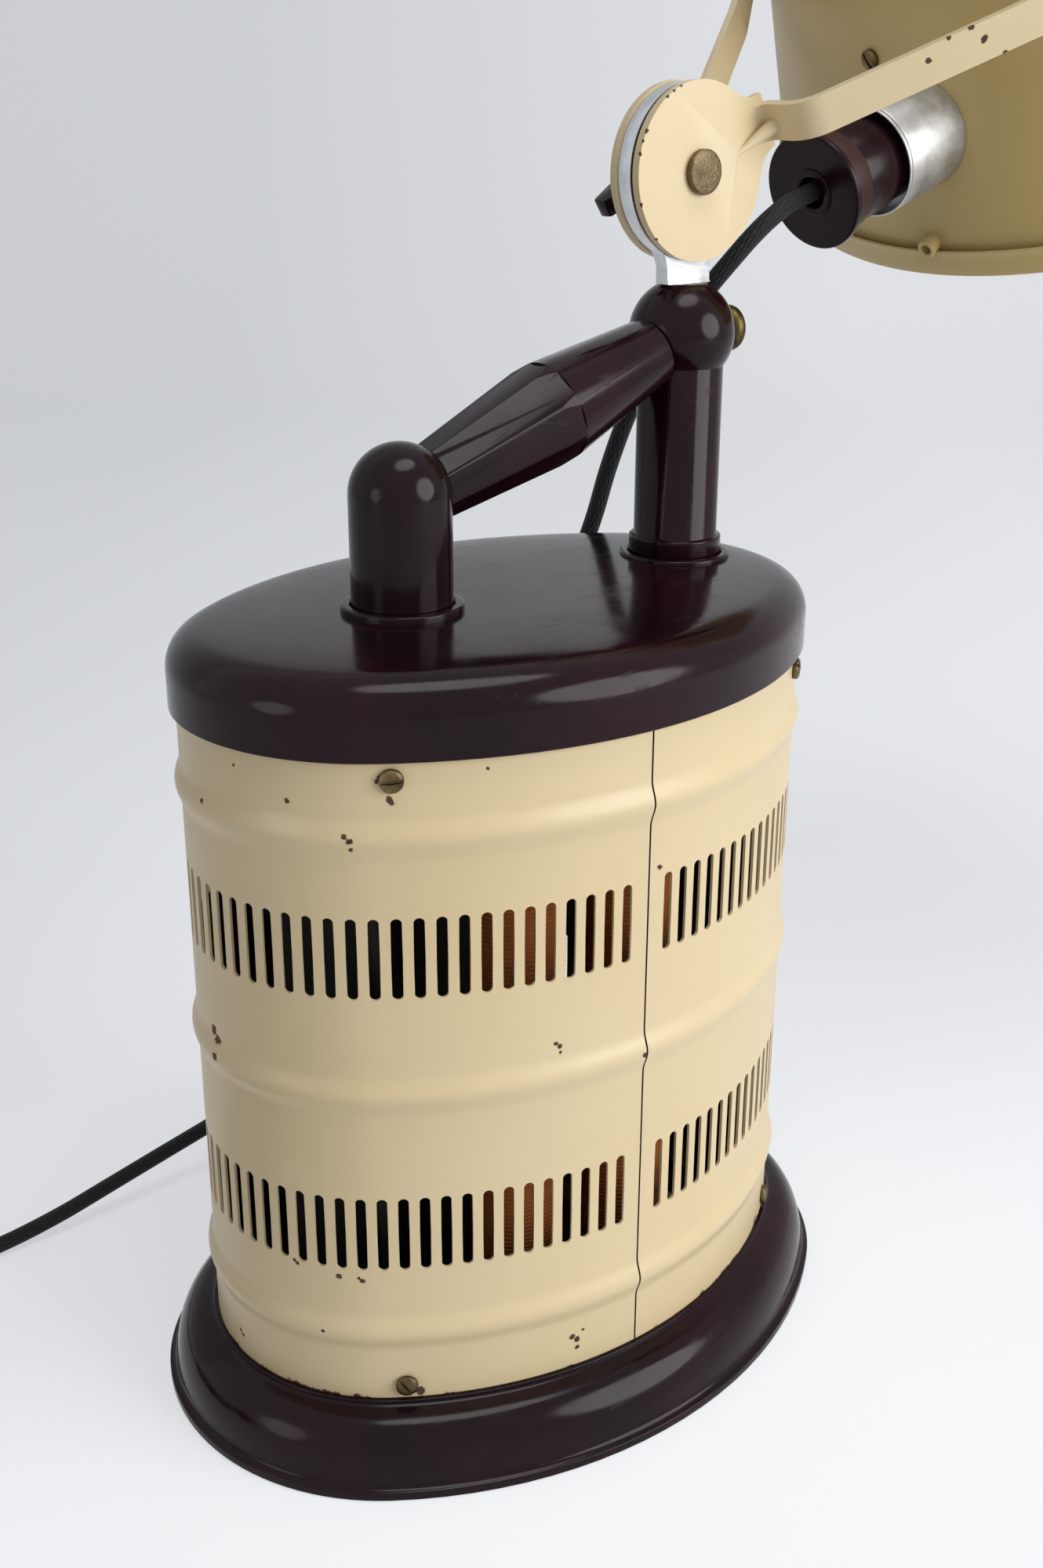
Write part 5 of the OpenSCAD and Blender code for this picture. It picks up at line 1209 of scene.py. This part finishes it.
# Leads' bushes and the plug
def bushes():
    """Bush of the lamp lead, ribbed strain relief of the mains lead, and the plug."""
    bush = [(3.6, -6), (5, -6), (5, 0.4), (7.3, 0.45)] + bend(7.0, 1.1, 0.7, -60, 60, 4)
    bush += [(6.6, 2.4), (6.2, 3.4), (5.4, 6.4)] + bend(4.9, 6.4, 0.5, 20, 90, 3)
    bush += [(3.6, 6.9), (3.6, -6)]
    put(turned("lead_bush_turned", bush, 56), AT_LEAD_BUSH, "housing", "bakelite", ["lead_bush"])
    relief = [(3.3, -10), (4.8, -10), (4.8, 0.3), (6.4, 0.3), (6.4, 2.9), (5.7, 3.3)]
    for k in range(6):
        z = 4.2 + 3.4 * k
        r = 5.55 - 0.22 * k
        relief += [(r, z), (r, z + 2.2), (r - 0.75, z + 2.6), (r - 0.8, z + 3.1)]
    relief += [(4.1, 25), (3.3, 25), (3.3, -10)]
    put(turned("mains_relief_turned", relief, 48), AT_MAINS_GLAND, "housing", "rubber", ["mains_gland"])
    plug = [(0, 0), (5.2, 0), (6.3, 0.9), (6.8, 3), (7, 9), (9, 13), (13, 16), (15.5, 19.5)]
    plug += [(16.8, 23.5), (17, 25.5)]
    for k in range(4):
        plug += [(17, 26.2 + 2.6 * k), (16.4, 26.8 + 2.6 * k), (16.4, 27.6 + 2.6 * k), (17, 28.2 + 2.6 * k)]
    plug += [(17, 37), (16.2, 38), (16.2, 41.4), (15.6, 42), (0, 42)]
    at_plug = at(-285, 70, 17) @ turn(90, "X")
    body = turned("plug_turned", plug, 72)
    pin_sides = (-9.5, 9.5)
    for x in pin_sides:
        cut(body, round_tool(2.45, 24, at(x, 0, 42)))
    put(body, at_plug, "housing", "bakelite", ["plug_body"])
    pin = turned("pin", [(0, 31), (2.4, 31), (2.4, 59.4)] + bend(1.4, 59.4, 1.0, 0, 80, 4) + [(0, 60.9)], 32)
    split = begin("pin_split", "cube", size=1)
    split.matrix_world = at(0, 0, 58) @ Matrix.Diagonal(mm(0.7, 8, 14) + (1,))
    settle(split)
    cut(pin, split)
    pins = copies(pin, [at_plug @ at(x, 0, 0) for x in pin_sides], "plug_pin_pair")
    put(pins, HERE, "housing", "aged_brass", ["plug_pins"])


def knob():
    """Wing knob on the far side: the drawing's shape with rounded edges."""
    source = frame["nodes"]["wing_knob"]
    wings = source.copy()
    wings.data = source.data.copy()
    wings.parent = None
    wings.name = "wing_knob_moulding"
    for key in list(wings.keys()):
        del wings[key]
    scene.collection.objects.link(wings)
    only(wings)
    bpy.ops.object.mode_set(mode="EDIT")
    bpy.ops.mesh.select_all(action="SELECT")
    bpy.ops.mesh.remove_doubles(threshold=0.00001)
    bpy.ops.mesh.dissolve_limited(angle_limit=math.radians(2))
    bpy.ops.object.mode_set(mode="OBJECT")
    soften(wings, 0.6, 3, 35)
    put(wings, HERE, "knob", "bakelite", ["wing_knob"])


shells()
foot()
lid()
posts()
grip()
ball_joint()
neck()
arm("arm_near_stamping", "arm_near", -1)
arm("arm_far_stamping", "arm_far", 1)
screws()
knob()
bell()
holder()
windings()
shade_board()
bushes()


# Floor, backdrop and light
def backdrop_paper():
    """Pale paper: to the camera, in gloss and through glass half its brightness is its own glow, painted
    lighter to the right and towards the front.
    """
    p = Paint("studio_paper")
    p.set(Base_Color=colour(0.78, 0.80, 0.83))
    p.shader.inputs["Roughness"].default_value = 0.9
    p.shader.inputs["Specular IOR Level"].default_value = 0.1
    split = p.add("ShaderNodeSeparateXYZ")
    p.join(p.place(), split.inputs[0])
    x, y, z = (split.outputs[k] for k in "XYZ")
    sideways = p.sum("SUBTRACT", p.sum("MULTIPLY", x, 0.769), p.sum("MULTIPLY", y, 0.639))
    onward = p.sum("ADD", p.sum("ADD", p.sum("MULTIPLY", x, 0.639), p.sum("MULTIPLY", y, 0.769)), z)
    # The glow is painted lighter to the right and towards the front: painted light on the paper.
    painted_light_tone = p.mix(p.ramp(sideways, -0.5, 0.6), colour(0.90, 0.93, 0.98), colour(1.16, 1.19, 1.23))
    painted_light_tone = p.mix(p.ramp(onward, 0.4, -0.5, 0, 0.8), painted_light_tone, colour(1.3, 1.33, 1.35))
    glow = p.add("ShaderNodeEmission")
    p.join(painted_light_tone, glow.inputs["Color"])
    rays = p.add("ShaderNodeLightPath").outputs
    seen = p.sum("MAXIMUM", rays["Is Camera Ray"], rays["Is Glossy Ray"])
    seen = p.sum("MAXIMUM", seen, rays["Is Transmission Ray"])
    both = p.add("ShaderNodeMixShader")
    p.join(p.sum("MULTIPLY", seen, 0.5), both.inputs[0])
    p.join(p.shader.outputs[0], both.inputs[1])
    p.join(glow.outputs[0], both.inputs[2])
    p.join(both.outputs[0], p.tree.nodes["Material Output"].inputs["Surface"])
    return p.material


def studio():
    """A pale sweep that curves up far behind the lamp, soft boxes on both sides and one above."""
    bpy.ops.object.select_all(action="DESELECT")
    bpy.ops.mesh.primitive_plane_add(size=1, location=(0, 0, 0))
    sweep = bpy.context.object
    sweep.name = "studio_sweep"
    bpy.ops.object.mode_set(mode="EDIT")
    bpy.ops.mesh.select_all(action="SELECT")
    bpy.ops.transform.resize(value=(24, 14, 1))
    bpy.ops.transform.translate(value=(0, -4.8, 0))
    choose(sweep, "EDGE", lambda e: all(v.co.y > 1 for v in e.verts))
    for k in range(12):
        a = math.radians(7.5 * (k + 0.5))
        pull((0, 0.13 * math.cos(a), 0.13 * math.sin(a)))
    pull((0, 0, 4))
    bpy.ops.object.mode_set(mode="OBJECT")
    bpy.ops.object.shade_smooth()
    sweep.rotation_euler = (0, 0, math.radians(-39.7))
    settle()
    sweep.data.materials.append(backdrop_paper())

    world = bpy.data.worlds.new("soft_room")
    world.use_nodes = True
    scene.world = world
    tree = world.node_tree
    room = tree.nodes["Background"]
    room.inputs["Color"].default_value = (1.0, 0.965, 0.91, 1)
    room.inputs["Strength"].default_value = 0.2
    pale = tree.nodes.new("ShaderNodeBackground")
    pale.inputs["Color"].default_value = (0.80, 0.83, 0.87, 1)
    rays = tree.nodes.new("ShaderNodeLightPath").outputs
    seen = rays["Is Camera Ray"]
    for ray in ("Is Glossy Ray", "Is Transmission Ray"):
        either = tree.nodes.new("ShaderNodeMath")
        either.operation = "MAXIMUM"
        tree.links.new(seen, either.inputs[0])
        tree.links.new(rays[ray], either.inputs[1])
        seen = either.outputs[0]
    both = tree.nodes.new("ShaderNodeMixShader")
    for source, socket in zip((seen, room.outputs[0], pale.outputs[0]), both.inputs):
        tree.links.new(source, socket)
    tree.links.new(both.outputs[0], tree.nodes["World Output"].inputs["Surface"])

    def soft_box(name, direction, height, distance, size, watts):
        """A soft box at a height, seen from the lamp in a direction in degrees from +X."""
        data = bpy.data.lights.new(name, "AREA")
        data.shape = "ELLIPSE"
        data.size, data.size_y = size
        data.energy = watts
        lamp = bpy.data.objects.new(name, data)
        scene.collection.objects.link(lamp)
        a = math.radians(direction)
        lamp.location = (distance * math.cos(a), distance * math.sin(a), height)
        lamp.rotation_euler = (Vector((0, 0, 0.25)) - lamp.location).to_track_quat("-Z", "Y").to_euler()

    soft_box("box_right", -66, 0.85, 2.0, (1.6, 1.6), 35)
    soft_box("box_left", 180, 0.5, 2.0, (0.8, 0.9), 3.5)
    soft_box("box_above", -90, 2.0, 0.45, (1.2, 0.8), 12)


studio()
